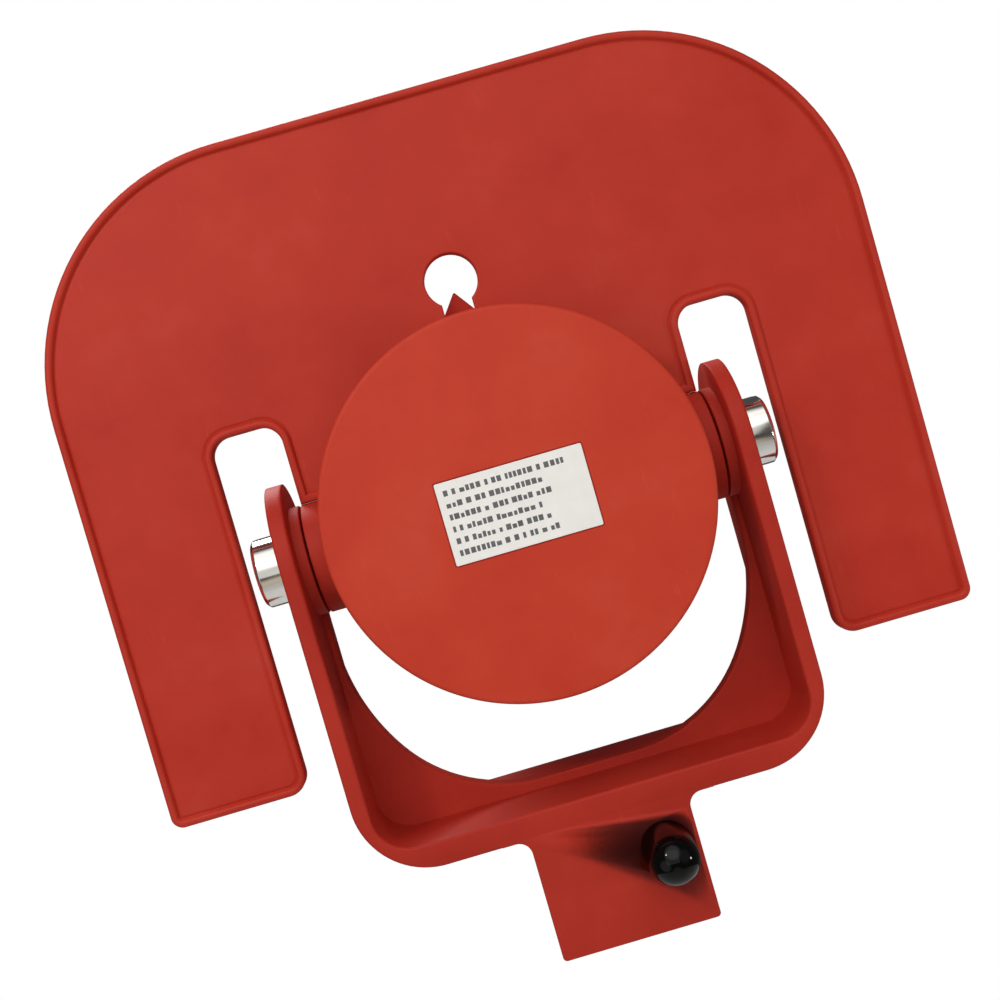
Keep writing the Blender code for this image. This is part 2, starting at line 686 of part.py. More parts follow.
# ---- Pivots -----------------------------------------------------------------------------
def make_pivots(yoke_group, prism_group, chrome, steel, brass, polymer):
    """Screws, inserts, bushes and washers of the two pivots.  The screws, inserts and
    friction washers turn with the housing, the bushes and spring washers stay."""
    washer_bore = SCREW_SHANK_RADIUS + GAP
    bush_in = ARM_BOSS_FACE_X + WASHER_THICKNESS / 2.0 + BUSH_BORE_CLEARANCE
    bush_out = YOKE_OUTER_X - OVERLAP
    washer_in = (TRUNNION_FACE_X + ARM_BOSS_FACE_X - WASHER_THICKNESS) / 2.0
    for side_name, sign in (("left", -1.0), ("right", 1.0)):
        bush = tube_profile(washer_bore, PIVOT_BUSH_RADIUS, bush_in, bush_out)
        turned(f"pivot_bush_{side_name}", mirrored(bush, sign), "X", yoke_group, polymer,
               24, (0.0, AXIS_HEIGHT))
        spring = [
            (washer_bore, bush_out + 0.0003), (0.0038, bush_out + 0.0003),
            (SPRING_WASHER_RADIUS, bush_out + 0.0005), (SPRING_WASHER_RADIUS, bush_out + 0.0009),
            (SPRING_WASHER_RADIUS - 0.0004, bush_out + 0.0009), (washer_bore, bush_out + 0.0007),
        ]
        turned(f"spring_washer_{side_name}", mirrored(spring, sign), "X", yoke_group, steel,
               SMALL_STEPS, (0.0, AXIS_HEIGHT))
        washer = tube_profile(washer_bore, WASHER_RADIUS, washer_in, washer_in + WASHER_THICKNESS)
        turned(f"friction_washer_{side_name}", mirrored(washer, sign), "X", prism_group, polymer, 32)
        insert = tube_profile(SCREW_SHANK_RADIUS + GAP, INSERT_RADIUS, INSERT_IN_X, INSERT_OUT_X)
        turned(f"trunnion_insert_{side_name}", mirrored(insert, sign), "X", prism_group, brass)
        make_screw(side_name, sign, prism_group, chrome)


def make_screw(side_name, sign, parent, chrome):
    """A pivot screw with a broad chamfered head and a coin slot."""
    profile = [
        (0.0, INSERT_IN_X + 0.0008),
        (SCREW_SHANK_RADIUS - 0.0005, INSERT_IN_X + 0.0008),
        (SCREW_SHANK_RADIUS, INSERT_IN_X + 0.0013),
        (SCREW_SHANK_RADIUS, SCREW_HEAD_IN_X),
        (SCREW_HEAD_RADIUS, SCREW_HEAD_IN_X),
        (SCREW_HEAD_RADIUS, SCREW_HEAD_OUT_X - 0.0011),
        (SCREW_HEAD_RADIUS - 0.0009, SCREW_HEAD_OUT_X - 0.0003),
        (0.003, SCREW_HEAD_OUT_X),
        (0.0, SCREW_HEAD_OUT_X),
    ]
    screw = turned(f"pivot_screw_{side_name}", mirrored(profile, sign), "X", parent, chrome, 32)
    ends = (SCREW_HEAD_OUT_X - COIN_SLOT_DEPTH, SCREW_HEAD_OUT_X + OVERLAP)
    low, high = sorted(sign * end for end in ends)
    length = SCREW_HEAD_RADIUS + OVERLAP
    slot = block(
        f"coin_slot_{side_name}",
        (low, -COIN_SLOT_HALF_WIDTH, -length),
        (high, COIN_SLOT_HALF_WIDTH, length),
        parent,
    )
    combine(screw, slot, "DIFFERENCE")


# ---- Target plate -----------------------------------------------------------------------
def plate_outline():
    """The plate with its two slots, which open downwards, and the arch over the housing."""
    right = [
        (PLATE_HALF_WIDTH, PLATE_TOP, PLATE_CORNER),
        (PLATE_HALF_WIDTH, PLATE_BOTTOM, LEG_OUTER_CORNER),
        (SLOT_OUT_X, PLATE_BOTTOM, LEG_INNER_CORNER),
        (SLOT_OUT_X, SLOT_TOP, SLOT_CORNER),
        (SLOT_IN_X, SLOT_TOP, SLOT_CORNER),
        (SLOT_IN_X, FOOT_BOTTOM, 0.0),
    ]
    left = [(-x, z, radius) for x, z, radius in reversed(right)]
    corners = rounded(right + left, 7)
    start = math.degrees(math.asin(FOOT_BOTTOM / ARCH_RADIUS))
    arch = arc((0.0, 0.0), ARCH_RADIUS, start, 180.0 - start, 32)
    split = corners.index((SLOT_IN_X, FOOT_BOTTOM)) + 1
    return corners[:split] + arch + corners[split:]


def make_plate(parent, red, foil):
    half = PLATE_THICKNESS / 2.0
    mesh_edit = bmesh.new()
    verts = [mesh_edit.verts.new((x, half, z)) for x, z in plate_outline()]
    face = mesh_edit.faces.new(verts)
    bmesh.ops.recalc_face_normals(mesh_edit, faces=[face])
    pushed = bmesh.ops.extrude_face_region(mesh_edit, geom=[face])
    moved = [item for item in pushed["geom"] if isinstance(item, bmesh.types.BMVert)]
    bmesh.ops.translate(mesh_edit, verts=moved, vec=(0.0, -PLATE_THICKNESS, 0.0))
    rear = max(mesh_edit.faces, key=lambda item: item.calc_center_median().y)
    inset = bmesh.ops.inset_region(
        mesh_edit, faces=[rear], thickness=RIM_WIDTH, use_even_offset=True,
    )
    rim = bmesh.ops.extrude_face_region(mesh_edit, geom=inset["faces"])
    bmesh.ops.delete(mesh_edit, geom=inset["faces"], context="FACES")
    raised = [item for item in rim["geom"] if isinstance(item, bmesh.types.BMVert)]
    bmesh.ops.translate(mesh_edit, verts=raised, vec=(0.0, RIM_HEIGHT, 0.0))
    plate = make_object("target_plate", mesh_edit, parent, red)
    deep = PLATE_THICKNESS
    hole = cylinder(
        "sight_hole", SIGHT_RADIUS, "Y", -deep, deep, parent, 32, (0.0, SIGHT_HEIGHT),
    )
    combine(plate, hole, "DIFFERENCE")
    neck = block(
        "sight_neck",
        (-SIGHT_NECK / 2.0, -deep, ARCH_RADIUS - 3.0 * OVERLAP),
        (SIGHT_NECK / 2.0, deep, SIGHT_HEIGHT - 2.0 * OVERLAP),
        parent,
    )
    combine(plate, neck, "DIFFERENCE")
    rear_y = -half - GAP
    front_y = rear_y - FOIL_THICKNESS
    for side_name, sign in (("left", -1.0), ("right", 1.0)):
        wedge = [
            (sign * WEDGE_APEX_X, 0.0),
            (sign * WEDGE_BASE_X, WEDGE_HALF_HEIGHT),
            (sign * WEDGE_BASE_X, -WEDGE_HALF_HEIGHT),
        ]
        extruded(f"target_wedge_{side_name}", wedge, "Y", front_y, rear_y, parent, foil)
    top = [
        (0.0, TOP_WEDGE_APEX),
        (WEDGE_HALF_HEIGHT, TOP_WEDGE_BASE),
        (-WEDGE_HALF_HEIGHT, TOP_WEDGE_BASE),
    ]
    extruded("target_wedge_top", top, "Y", front_y, rear_y, parent, foil)


# ---- Assembly ---------------------------------------------------------------------------
def main():
    for item in list(bpy.data.objects):
        bpy.data.objects.remove(item, do_unlink=True)
    red = finish("red_polymer", RED, 0.45)
    black = finish("black_polymer", (0.006, 0.006, 0.006), 0.18)
    chrome = finish("chrome", (0.78, 0.76, 0.73), 0.12, 1.0)
    steel = finish("stainless_steel", (0.55, 0.55, 0.56), 0.3, 1.0)
    brass = finish("brass", (0.72, 0.52, 0.22), 0.3, 1.0)
    polymer = finish("bearing_polymer", (0.04, 0.04, 0.04), 0.5)
    rubber = finish("seal_rubber", (0.012, 0.012, 0.012), 0.7)
    glass = finish("prism_glass", (0.9, 0.95, 0.95), 0.02, 0.0, 1.0)
    paper = finish("label_stock", (0.74, 0.72, 0.69), 0.5)
    foil = finish("target_foil", (0.8, 0.8, 0.78), 0.4)

    yoke_group = group_empty("yoke_group", (0.0, 0.0, 0.0))
    prism_group = group_empty("prism_group", (0.0, 0.0, AXIS_HEIGHT))
    plate_group = group_empty("plate_group", (0.0, 0.0, AXIS_HEIGHT), prism_group)
    lock_group = group_empty("lock_group", (LOCK_X, 0.0, LOCK_Z))

    yoke = make_yoke(yoke_group, red)
    make_socket_parts(yoke, yoke_group, steel)
    make_lock_button(lock_group, steel, black)
    spring_low = LOCK_BORE_END_Y + GAP
    spring_high = SPRING_HOLE_END_Y - GAP
    make_spring("lock_spring", SPRING_RADIUS, SPRING_WIRE_RADIUS, spring_low, spring_high,
                SPRING_TURNS, lock_group, steel)
    make_housing(prism_group, red)
    make_cover(prism_group, red, rubber, paper)
    make_glass(prism_group, glass, black, steel, rubber)
    make_pivots(yoke_group, prism_group, chrome, steel, brass, polymer)
    make_plate(plate_group, red, foil)


main()
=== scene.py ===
# %% [markdown]
# # A survey prism in its yoke
# A glass corner cube sits in a round housing that tilts between the arms of a U-shaped
# yoke.  A flat target plate straddles the housing, and a black knob on the stem frees the
# socket from its stub.  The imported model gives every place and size; this lesson puts
# smooth, finished surfaces around it.

# %% Load the frame
import math

import bpy
import numpy as np
from mathutils import Matrix, Vector


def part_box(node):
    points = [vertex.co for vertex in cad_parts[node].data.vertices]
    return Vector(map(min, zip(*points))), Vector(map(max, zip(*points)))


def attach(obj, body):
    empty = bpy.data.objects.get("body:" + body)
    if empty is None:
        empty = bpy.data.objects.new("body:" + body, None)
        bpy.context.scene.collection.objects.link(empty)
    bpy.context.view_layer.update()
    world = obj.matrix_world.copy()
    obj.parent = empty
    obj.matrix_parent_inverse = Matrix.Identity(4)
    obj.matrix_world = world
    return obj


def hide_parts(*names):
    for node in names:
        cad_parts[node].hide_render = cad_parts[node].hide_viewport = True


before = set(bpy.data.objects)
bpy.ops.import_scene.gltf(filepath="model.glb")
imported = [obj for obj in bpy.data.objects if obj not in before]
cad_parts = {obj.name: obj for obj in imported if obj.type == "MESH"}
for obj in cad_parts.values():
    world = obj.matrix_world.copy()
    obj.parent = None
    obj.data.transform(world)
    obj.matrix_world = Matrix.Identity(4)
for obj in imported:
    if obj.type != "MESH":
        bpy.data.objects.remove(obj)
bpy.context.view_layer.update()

# %% [markdown]
# ## Measures taken from the frame
# A node's box gives its lowest and highest corner.  The tilt axis, the plate's edges and
# the yoke's walls all come from such boxes, so a change in the model moves the looks too.

# %% Measures
MM = 0.001


def span(node):
    """Low corner and high corner of a node, as arrays."""
    low, high = (np.array(corner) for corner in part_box(node))
    return low, high


def middle(node):
    """The middle of a node's box."""
    low, high = span(node)
    return (low + high) / 2.0


yoke_high = span("yoke_frame")[1]
cover_low, cover_high = span("rear_cover")
plate_low, plate_high = span("target_plate")
housing_low, housing_high = span("prism_housing")
knob_low, knob_high = span("lock_knob")
label_low, label_high = span("label_plate")
ring_low, ring_high = span("retaining_ring")
axis_z = middle("rear_cover")[2]
cover_radius = (cover_high[0] - cover_low[0]) / 2.0
print(f"tilt axis {axis_z / MM:.1f} mm above the socket, cover radius {cover_radius / MM:.2f} mm")

# %% [markdown]
# ## The camera
# The view is from behind, close enough for some perspective, and rolled so that the yoke
# leans to the right.  A look-at matrix is built from the view direction and that roll.

# %% Camera
CAMERA_PLACE = Vector((0.0082, 0.2902, 0.0983))
CAMERA_AIM = Vector((-0.01895, -0.99907, -0.03882))
CAMERA_ROLL = math.radians(16.12)
CAMERA_LENS = 52.77


def look_along(place, aim, roll):
    """A camera matrix: -Z along the aim, +Y upwards, then turned about the aim."""
    back = -aim.normalized()
    right = Vector((0.0, 0.0, 1.0)).cross(back).normalized()
    up = back.cross(right)
    rolled_up = up * math.cos(roll) + right * math.sin(roll)
    rolled_right = rolled_up.cross(back)
    turn = Matrix((rolled_right, rolled_up, back)).transposed()
    return Matrix.Translation(place) @ turn.to_4x4()


camera_data = bpy.data.cameras.new("camera")
camera_data.lens = CAMERA_LENS
camera_data.sensor_width = 36.0
camera_data.clip_start = 0.01
camera = bpy.data.objects.new("camera", camera_data)
bpy.context.scene.collection.objects.link(camera)
camera.matrix_world = look_along(CAMERA_PLACE, CAMERA_AIM, CAMERA_ROLL)
bpy.context.scene.camera = camera
print(f"camera lens {CAMERA_LENS} mm at", tuple(CAMERA_PLACE))

# %% [markdown]
# ## Light
# The room is a dark sphere with four soft lobes: a bright one above the camera, a weaker
# one on either side and a warm one below.  Straight behind the camera and behind the
# object it stays dark, which keeps the knob black and the yoke's inner walls deep.  Rays
# from the camera see plain white instead, as on a cut-out product picture.  Small lamps
# give the knob its two highlights, a wide one lets the brightness fall from top to bottom,
# and one high over the front serves the glass side.

# %% Light
def area_light(name, place, size, power, tint):
    """A square area light at a place, turned to the tilt axis."""
    data = bpy.data.lights.new(name, "AREA")
    data.size = size
    data.energy = power
    data.color = tint
    lamp = bpy.data.objects.new(name, data)
    bpy.context.scene.collection.objects.link(lamp)
    lamp.location = place
    aim = Vector((0.0, 0.0, axis_z)) - Vector(place)
    lamp.rotation_euler = aim.to_track_quat("-Z", "Y").to_euler()
    return lamp


# direction, cosines where the lobe starts and is full, and its colour times strength
LOBES = [
    ((0.02, 0.66, 0.75), 0.78, 0.93, (1.25, 1.24, 1.21)),
    ((0.75, 0.65, -0.10), 0.88, 0.97, (0.62, 0.61, 0.60)),
    ((-0.70, 0.66, 0.25), 0.84, 0.97, (0.26, 0.26, 0.26)),
    ((0.05, 0.80, -0.60), 0.92, 0.98, (0.52, 0.43, 0.32)),
]
ROOM = (0.085, 0.083, 0.081)


def soft_room():
    """The world: the room's colour plus, for each lobe, its colour times a smooth step of
    the cosine between the ray and the lobe's direction.  Camera rays see white."""
    world = bpy.data.worlds.new("soft_room")
    world.use_nodes = True
    tree = world.node_tree
    place = tree.nodes.new("ShaderNodeTexCoord")
    total = tree.nodes.new("ShaderNodeCombineXYZ")
    for axis, value in zip("XYZ", ROOM):
        total.inputs[axis].default_value = value
    for direction, start, full, colour in LOBES:
        cosine = tree.nodes.new("ShaderNodeVectorMath")
        cosine.operation = "DOT_PRODUCT"
        cosine.inputs[1].default_value = Vector(direction).normalized()
        tree.links.new(place.outputs["Generated"], cosine.inputs[0])
        step = tree.nodes.new("ShaderNodeMapRange")
        step.interpolation_type = "SMOOTHSTEP"
        step.inputs["From Min"].default_value = start
        step.inputs["From Max"].default_value = full
        tree.links.new(cosine.outputs["Value"], step.inputs["Value"])
        scaled = tree.nodes.new("ShaderNodeVectorMath")
        scaled.operation = "SCALE"
        scaled.inputs[0].default_value = colour
        tree.links.new(step.outputs["Result"], scaled.inputs["Scale"])
        added = tree.nodes.new("ShaderNodeVectorMath")
        added.operation = "ADD"
        tree.links.new(total.outputs["Vector"], added.inputs[0])
        tree.links.new(scaled.outputs["Vector"], added.inputs[1])
        total = added
    ray = tree.nodes.new("ShaderNodeLightPath")
    seen = tree.nodes.new("ShaderNodeMix")
    seen.data_type = "RGBA"
    seen.inputs["B"].default_value = (1.0, 1.0, 1.0, 1.0)
    tree.links.new(ray.outputs["Is Camera Ray"], seen.inputs["Factor"])
    tree.links.new(total.outputs["Vector"], seen.inputs["A"])
    tree.links.new(seen.outputs["Result"], tree.nodes["Background"].inputs["Color"])
    return world


bpy.context.scene.world = soft_room()
bpy.context.scene.view_settings.view_transform = "Standard"

# name, place, size, watts and tint
LAMPS = [
    ("lamp_key", (0.06, 0.35, 0.22), 0.45, 0.46, (1.0, 0.99, 0.97)),
    ("lamp_left", (0.20, 0.26, 0.29), 0.046, 0.22, (1.0, 0.98, 0.96)),
    ("lamp_right", (-0.48, 0.17, -0.03), 0.060, 0.38, (1.0, 0.99, 0.98)),
    ("lamp_front", (0.20, -0.50, 0.72), 0.40, 5.0, (1.0, 1.0, 1.0)),
]
for lamp_row in LAMPS:
    area_light(*lamp_row)
print("lobes:", len(LOBES), "lamps:", len(LAMPS))

# %% [markdown]
# ## Surfaces from arrays
# Nearly every piece is one closed grid of points: a profile is carried along a path or
# turned about an axis, all as whole arrays.  Three small functions cover them.

# %% Grid to mesh
def grid_faces(rows, columns):
    """Quads between neighbouring rows of a grid whose columns close on themselves."""
    row, column = np.meshgrid(np.arange(rows - 1), np.arange(columns), indexing="ij")
    following = (column + 1) % columns
    quads = np.stack([
        row * columns + column,
        row * columns + following,
        (row + 1) * columns + following,
        (row + 1) * columns + column,
    ], axis=-1)
    return quads.reshape(-1, 4)


def signed_volume(points, faces):
    """Six times the volume a closed mesh holds, from its fans of triangles."""
    total = 0.0
    for face in faces:
        corners = points[list(face)]
        total += np.sum(np.cross(corners[1:-1], corners[2:]) @ corners[0])
    return total


def closed_mesh(name, points, quads, caps=()):
    """A mesh object from points, quads and cap polygons, turned to face outwards."""
    points = np.asarray(points, dtype=float).reshape(-1, 3)
    faces = [tuple(int(i) for i in quad) for quad in quads]
    caps = [tuple(int(i) for i in cap) for cap in caps]
    if signed_volume(points, faces + caps) < 0.0:
        faces = [face[::-1] for face in faces]
        caps = [cap[::-1] for cap in caps]
    mesh = bpy.data.meshes.new(name)
    mesh.from_pydata(points.tolist(), [], faces + caps)
    smooth = np.ones(len(mesh.polygons), dtype=bool)
    smooth[len(faces):] = False
    mesh.polygons.foreach_set("use_smooth", smooth)
    mesh.validate()
    piece = bpy.data.objects.new(name, mesh)
    bpy.context.scene.collection.objects.link(piece)
    return piece


# %% [markdown]
# ### Rounded outlines
# A moulded outline is a chain of corners with an arc at each.  The arc starts and ends
# where it touches the two sides, so a single helper makes plates, webs and profiles.

# %% Outlines
def arc_points(centre, radius, start, end, steps):
    """Points on an arc between two angles in degrees: centre + radius (cos, sin)."""
    angles = np.radians(np.linspace(start, end, steps + 1))
    return np.column_stack([centre[0] + radius * np.cos(angles), centre[1] + radius * np.sin(angles)])


def rounded(corners, steps=8, closed=True):
    """An outline from (u, v, radius) corners.  Each corner becomes an arc whose ends lie
    radius / tan(half the corner's angle) back along its two sides."""
    corners = [np.array(corner, dtype=float) for corner in corners]
    chain = []
    for index, (u, v, radius) in enumerate(corners):
        corner = np.array([u, v])
        at_end = not closed and index in (0, len(corners) - 1)
        if radius <= 0.0 or at_end:
            chain.append(corner[None, :])
            continue
        before = corners[index - 1][:2] - corner
        after = corners[(index + 1) % len(corners)][:2] - corner
        before /= np.linalg.norm(before)
        after /= np.linalg.norm(after)
        half = math.acos(np.clip(before @ after, -1.0, 1.0)) / 2.0
        centre = corner + (before + after) / np.linalg.norm(before + after) * radius / math.sin(half)
        start = corner + before * radius / math.tan(half) - centre
        end = corner + after * radius / math.tan(half) - centre
        turn = math.atan2(start[0] * end[1] - start[1] * end[0], start @ end)
        first = math.degrees(math.atan2(start[1], start[0]))
        chain.append(arc_points(centre, radius, first, first + math.degrees(turn), steps))
    return np.vstack(chain)


def inward(outline):
    """For each point of a closed outline, the step that moves both of its sides inwards
    by one unit: the sum of the side normals over one plus their dot product."""
    following = np.roll(outline, -1, axis=0)
    side = following - outline
    side /= np.linalg.norm(side, axis=1)[:, None]
    area = np.sum(outline[:, 0] * following[:, 1] - outline[:, 1] * following[:, 0])
    normal = np.column_stack([-side[:, 1], side[:, 0]]) * np.sign(area)
    before = np.roll(normal, 1, axis=0)
    return (normal + before) / (1.0 + np.sum(normal * before, axis=1))[:, None]


# %% [markdown]
# ### Turned pieces and slabs
# A turned piece spins a closed profile about an axis.  A slab carries an edge profile
# round an outline and closes it with two flat faces.

# %% Turned and slab pieces
def turned(name, profile, axis, centre, steps=128):
    """A profile of (radius, distance) points turned about X, Y or Z through a centre:
    the two cross coordinates are radius times cosine and sine of the angle.  A profile
    that starts and ends on the axis closes in a pole at each end."""
    profile = np.asarray(profile, dtype=float)
    on_axis = profile[0, 0] <= 1e-9 and profile[-1, 0] <= 1e-9
    body = profile[1:-1] if on_axis else profile
    angles = np.linspace(0.0, 2.0 * math.pi, steps, endpoint=False)
    first = body[:, 0][:, None] * np.cos(angles)
    second = body[:, 0][:, None] * np.sin(angles)
    along = np.repeat(body[:, 1][:, None], steps, axis=1)
    order = {"X": (along, first, second), "Y": (first, along, second), "Z": (first, second, along)}
    points = np.stack(order[axis], axis=-1).reshape(-1, 3)
    rows = len(body)
    if on_axis:
        quads = grid_faces(rows, steps)
        poles = np.zeros((2, 3))
        poles[:, "XYZ".index(axis)] = profile[[0, -1], 1]
        ring = np.arange(steps)
        after = (ring + 1) % steps
        low, high = len(points), len(points) + 1
        last = (rows - 1) * steps
        fans = [(low, b, a) for a, b in zip(ring, after)]
        fans += [(high, last + a, last + b) for a, b in zip(ring, after)]
        points = np.vstack([points, poles])
        piece = closed_mesh(name, points + np.array(centre), list(quads) + fans)
    else:
        column = np.arange(steps)
        following = (column + 1) % steps
        last = (rows - 1) * steps
        closing = np.column_stack([last + column, last + following, following, column])
        wrap = np.vstack([grid_faces(rows, steps), closing])
        piece = closed_mesh(name, points + np.array(centre), wrap)
    return piece


def slab(name, outline, edge_in, edge_along, axis="Y"):
    """A flat piece: each point of the outline carries an edge profile, which lies
    edge_in inside the outline and edge_along along the axis, and the two inner rings are
    closed by flat faces.  edge_in and edge_along may differ from point to point."""
    outline = np.asarray(outline)
    count = len(outline)
    edge_in = np.broadcast_to(edge_in, (count, np.shape(edge_in)[-1]))
    edge_along = np.broadcast_to(edge_along, edge_in.shape)
    flat = outline[:, None, :] + inward(outline)[:, None, :] * edge_in[..., None]
    columns = {
        "X": (edge_along, flat[..., 0], flat[..., 1]),
        "Y": (flat[..., 0], edge_along, flat[..., 1]),
        "Z": (flat[..., 0], flat[..., 1], edge_along),
    }[axis]
    rings = np.stack(columns, axis=-1).transpose(1, 0, 2)
    quads = grid_faces(rings.shape[0], count)
    last = (rings.shape[0] - 1) * count
    caps = [np.arange(count), last + np.arange(count)[::-1]]
    return closed_mesh(name, rings, quads, caps)


def round_edge(radius, low, high, steps=4):
    """The plain edge profile of a slab: a quarter arc, the side, and a quarter arc."""
    angles = np.linspace(0.0, math.pi / 2.0, steps + 1)
    inset = np.concatenate([radius * (1.0 - np.cos(angles)), radius * (1.0 - np.cos(angles))[::-1]])
    lift = radius * (1.0 - np.sin(angles))
    along = np.concatenate([low + lift, high - lift[::-1]])
    order = np.concatenate([np.arange(steps, -1, -1), np.arange(2 * steps + 1, steps, -1)])
    return inset[order], along[order]


# %% [markdown]
# ## Finishes
# The red polymer is moulded with a fine spark-eroded grain, which a small-scale noise in
# the bump gives, and years of handling leave broad pale patches and fine scuffs.  Every
# pattern reads Object coordinates, so it stays on the piece when the piece moves.

# %% Material helpers
def link(tree, source, output, target, slot):
    """Join a named output of one node to a named input of another."""
    tree.links.new(source.outputs[output], target.inputs[slot])


def noise(tree, scale, detail=3.0, roughness=0.55, stretch=None):
    """A noise texture on Object coordinates, stretched by a Mapping when asked."""
    place = tree.nodes.new("ShaderNodeTexCoord")
    texture = tree.nodes.new("ShaderNodeTexNoise")
    texture.inputs["Scale"].default_value = scale
    texture.inputs["Detail"].default_value = detail
    texture.inputs["Roughness"].default_value = roughness
    if stretch is None:
        link(tree, place, "Object", texture, "Vector")
        return texture
    mapping = tree.nodes.new("ShaderNodeMapping")
    mapping.inputs["Scale"].default_value = stretch
    link(tree, place, "Object", mapping, "Vector")
    link(tree, mapping, "Vector", texture, "Vector")
    return texture


def ramp(tree, texture, stops):
    """A colour ramp over a texture's factor, from (position, colour) stops."""
    node = tree.nodes.new("ShaderNodeValToRGB")
    elements = node.color_ramp.elements
    while len(elements) < len(stops):
        elements.new(0.5)
    for element, (position, colour) in zip(elements, stops):
        element.position = position
        element.color = (*colour, 1.0)
    link(tree, texture, "Fac", node, "Fac")
    return node


def span_to(tree, texture, low, high):
    """A Map Range from a texture's middle spread to a pair of values."""
    node = tree.nodes.new("ShaderNodeMapRange")
    node.inputs["From Min"].default_value = 0.3
    node.inputs["From Max"].default_value = 0.7
    node.inputs["To Min"].default_value = low
    node.inputs["To Max"].default_value = high
    link(tree, texture, "Fac", node, "Value")
    return node


def new_finish(name, **values):
    """A material and its node tree, with plain values set on the shader's sockets."""
    material = bpy.data.materials.new(name)
    material.use_nodes = True
    tree = material.node_tree
    shader = tree.nodes["Principled BSDF"]
    for key, value in values.items():
        shader.inputs[key.replace("_", " ")].default_value = value
    return material, tree, shader


def grain_bump(tree, shader, layers, distance=0.0002):
    """Stacked bumps: each layer is (texture, strength) and feeds the next one's normal."""
    previous = None
    for texture, strength in layers:
        bump = tree.nodes.new("ShaderNodeBump")
        bump.inputs["Strength"].default_value = strength
        bump.inputs["Distance"].default_value = distance
        link(tree, texture, "Fac", bump, "Height")
        if previous is not None:
            link(tree, previous, "Normal", bump, "Normal")
        previous = bump
    link(tree, previous, "Normal", shader, "Normal")


# %% [markdown]
# ### Red moulded polymer
# Two reds are mixed in broad soft patches, and a third pale layer stands for the scuffs
# that catch dust.  Roughness wanders with the patches, so the sheen isn't even.

# %% Red polymer
def red_polymer(name, deep, plain, worn, gloss, sheen):
    """Three reds over a broad noise, pale scuffs over a stretched one, and a fine grain."""
    material, tree, shader = new_finish(name, Specular_IOR_Level=sheen)
    patches = noise(tree, 38.0, 4.0, 0.6)
    colours = ramp(tree, patches, [(0.30, deep), (0.55, plain), (0.78, worn)])
    scuffs = noise(tree, 520.0, 3.0, 0.7, (1.0, 1.0, 0.16))
    scuff_mask = ramp(tree, scuffs, [(0.66, (0.0, 0.0, 0.0)), (0.80, (0.16, 0.16, 0.16))])
    mix = tree.nodes.new("ShaderNodeMix")
    mix.data_type = "RGBA"
    mix.inputs["B"].default_value = (*[min(1.0, c * 1.5 + 0.03) for c in worn], 1.0)
    link(tree, scuff_mask, "Color", mix, "Factor")
    link(tree, colours, "Color", mix, "A")
    link(tree, mix, "Result", shader, "Base Color")
    link(tree, span_to(tree, patches, *gloss), "Result", shader, "Roughness")
    fine = noise(tree, 2600.0, 2.0, 0.6)
    coarse = noise(tree, 900.0, 3.0, 0.5)
    grain_bump(tree, shader, [(fine, 0.22), (coarse, 0.10)], 0.00012)
    return material


plate_red = red_polymer(
    "plate_red", (0.48, 0.028, 0.014), (0.53, 0.037, 0.019), (0.56, 0.054, 0.032), (0.42, 0.58), 0.20,
)
cover_red = red_polymer(
    "cover_red", (0.55, 0.040, 0.018), (0.60, 0.051, 0.024), (0.63, 0.070, 0.036), (0.40, 0.56), 0.18,
)
# The yoke's reds sit below the cover's partly as its own darker moulding and partly as painted shade,
# standing in for the light that falls off over the stem.
yoke_red = red_polymer(
    "yoke_red", (0.42, 0.023, 0.012), (0.47, 0.029, 0.015), (0.52, 0.040, 0.022), (0.52, 0.68), 0.20,
)
print("reds:", plate_red.name, cover_red.name, yoke_red.name)

# %% [markdown]
# ### Metals, black plastic, rubber, glass and paper
# Turned metal gets fine rings from a stretched noise, polished plastic a trace of orange
# peel, rubber a dull powder, and the paper an even white with hardly any spread.

# %% Other finishes
def metal(name, colour, low, high, stretch, scale=900.0):
    """Bare metal whose tint and roughness, low to high, follow one stretched noise."""
    material, tree, shader = new_finish(name, Metallic=1.0)
    lines = noise(tree, scale, 2.0, 0.5, stretch)
    tint = ramp(tree, lines, [(0.30, [c * 0.86 for c in colour]), (0.70, colour)])
    link(tree, tint, "Color", shader, "Base Color")
    link(tree, span_to(tree, lines, low, high), "Result", shader, "Roughness")
    grain_bump(tree, shader, [(lines, 0.06)], 0.00005)
    return material


def plastic(name, colour, low, high, grain, scale, shine=0.5, spread=0.2):
    """A plain colour that varies by the spread either way, with a fine grain."""
    material, tree, shader = new_finish(name, Specular_IOR_Level=shine)
    speck = noise(tree, scale, 3.0, 0.6)
    dark = [c * (1.0 - spread) for c in colour]
    light = [c * (1.0 + spread) for c in colour]
    tint = ramp(tree, speck, [(0.30, dark), (0.75, light)])
    link(tree, tint, "Color", shader, "Base Color")
    link(tree, span_to(tree, speck, low, high), "Result", shader, "Roughness")
    grain_bump(tree, shader, [(speck, grain)], 0.00008)
    return material


chrome = metal("polished_chrome", (0.80, 0.78, 0.74), 0.07, 0.16, (0.15, 1.0, 1.0))
steel = metal("turned_steel", (0.56, 0.56, 0.57), 0.22, 0.36, (1.0, 1.0, 6.0), 500.0)
brass = metal("turned_brass", (0.74, 0.54, 0.24), 0.22, 0.34, (6.0, 1.0, 1.0), 500.0)
knob_black = plastic("knob_black", (0.002, 0.002, 0.002), 0.03, 0.06, 0.02, 300.0, 0.20)
satin_black = plastic("satin_black", (0.016, 0.016, 0.017), 0.32, 0.48, 0.15, 1800.0)
bearing_black = plastic("bearing_black", (0.035, 0.035, 0.036), 0.45, 0.60, 0.12, 1500.0)
seal_rubber = plastic("dull_rubber", (0.012, 0.012, 0.012), 0.60, 0.80, 0.25, 1200.0)
foil_white = plastic("foil_white", (0.82, 0.82, 0.79), 0.28, 0.40, 0.06, 2200.0, 0.5, 0.06)
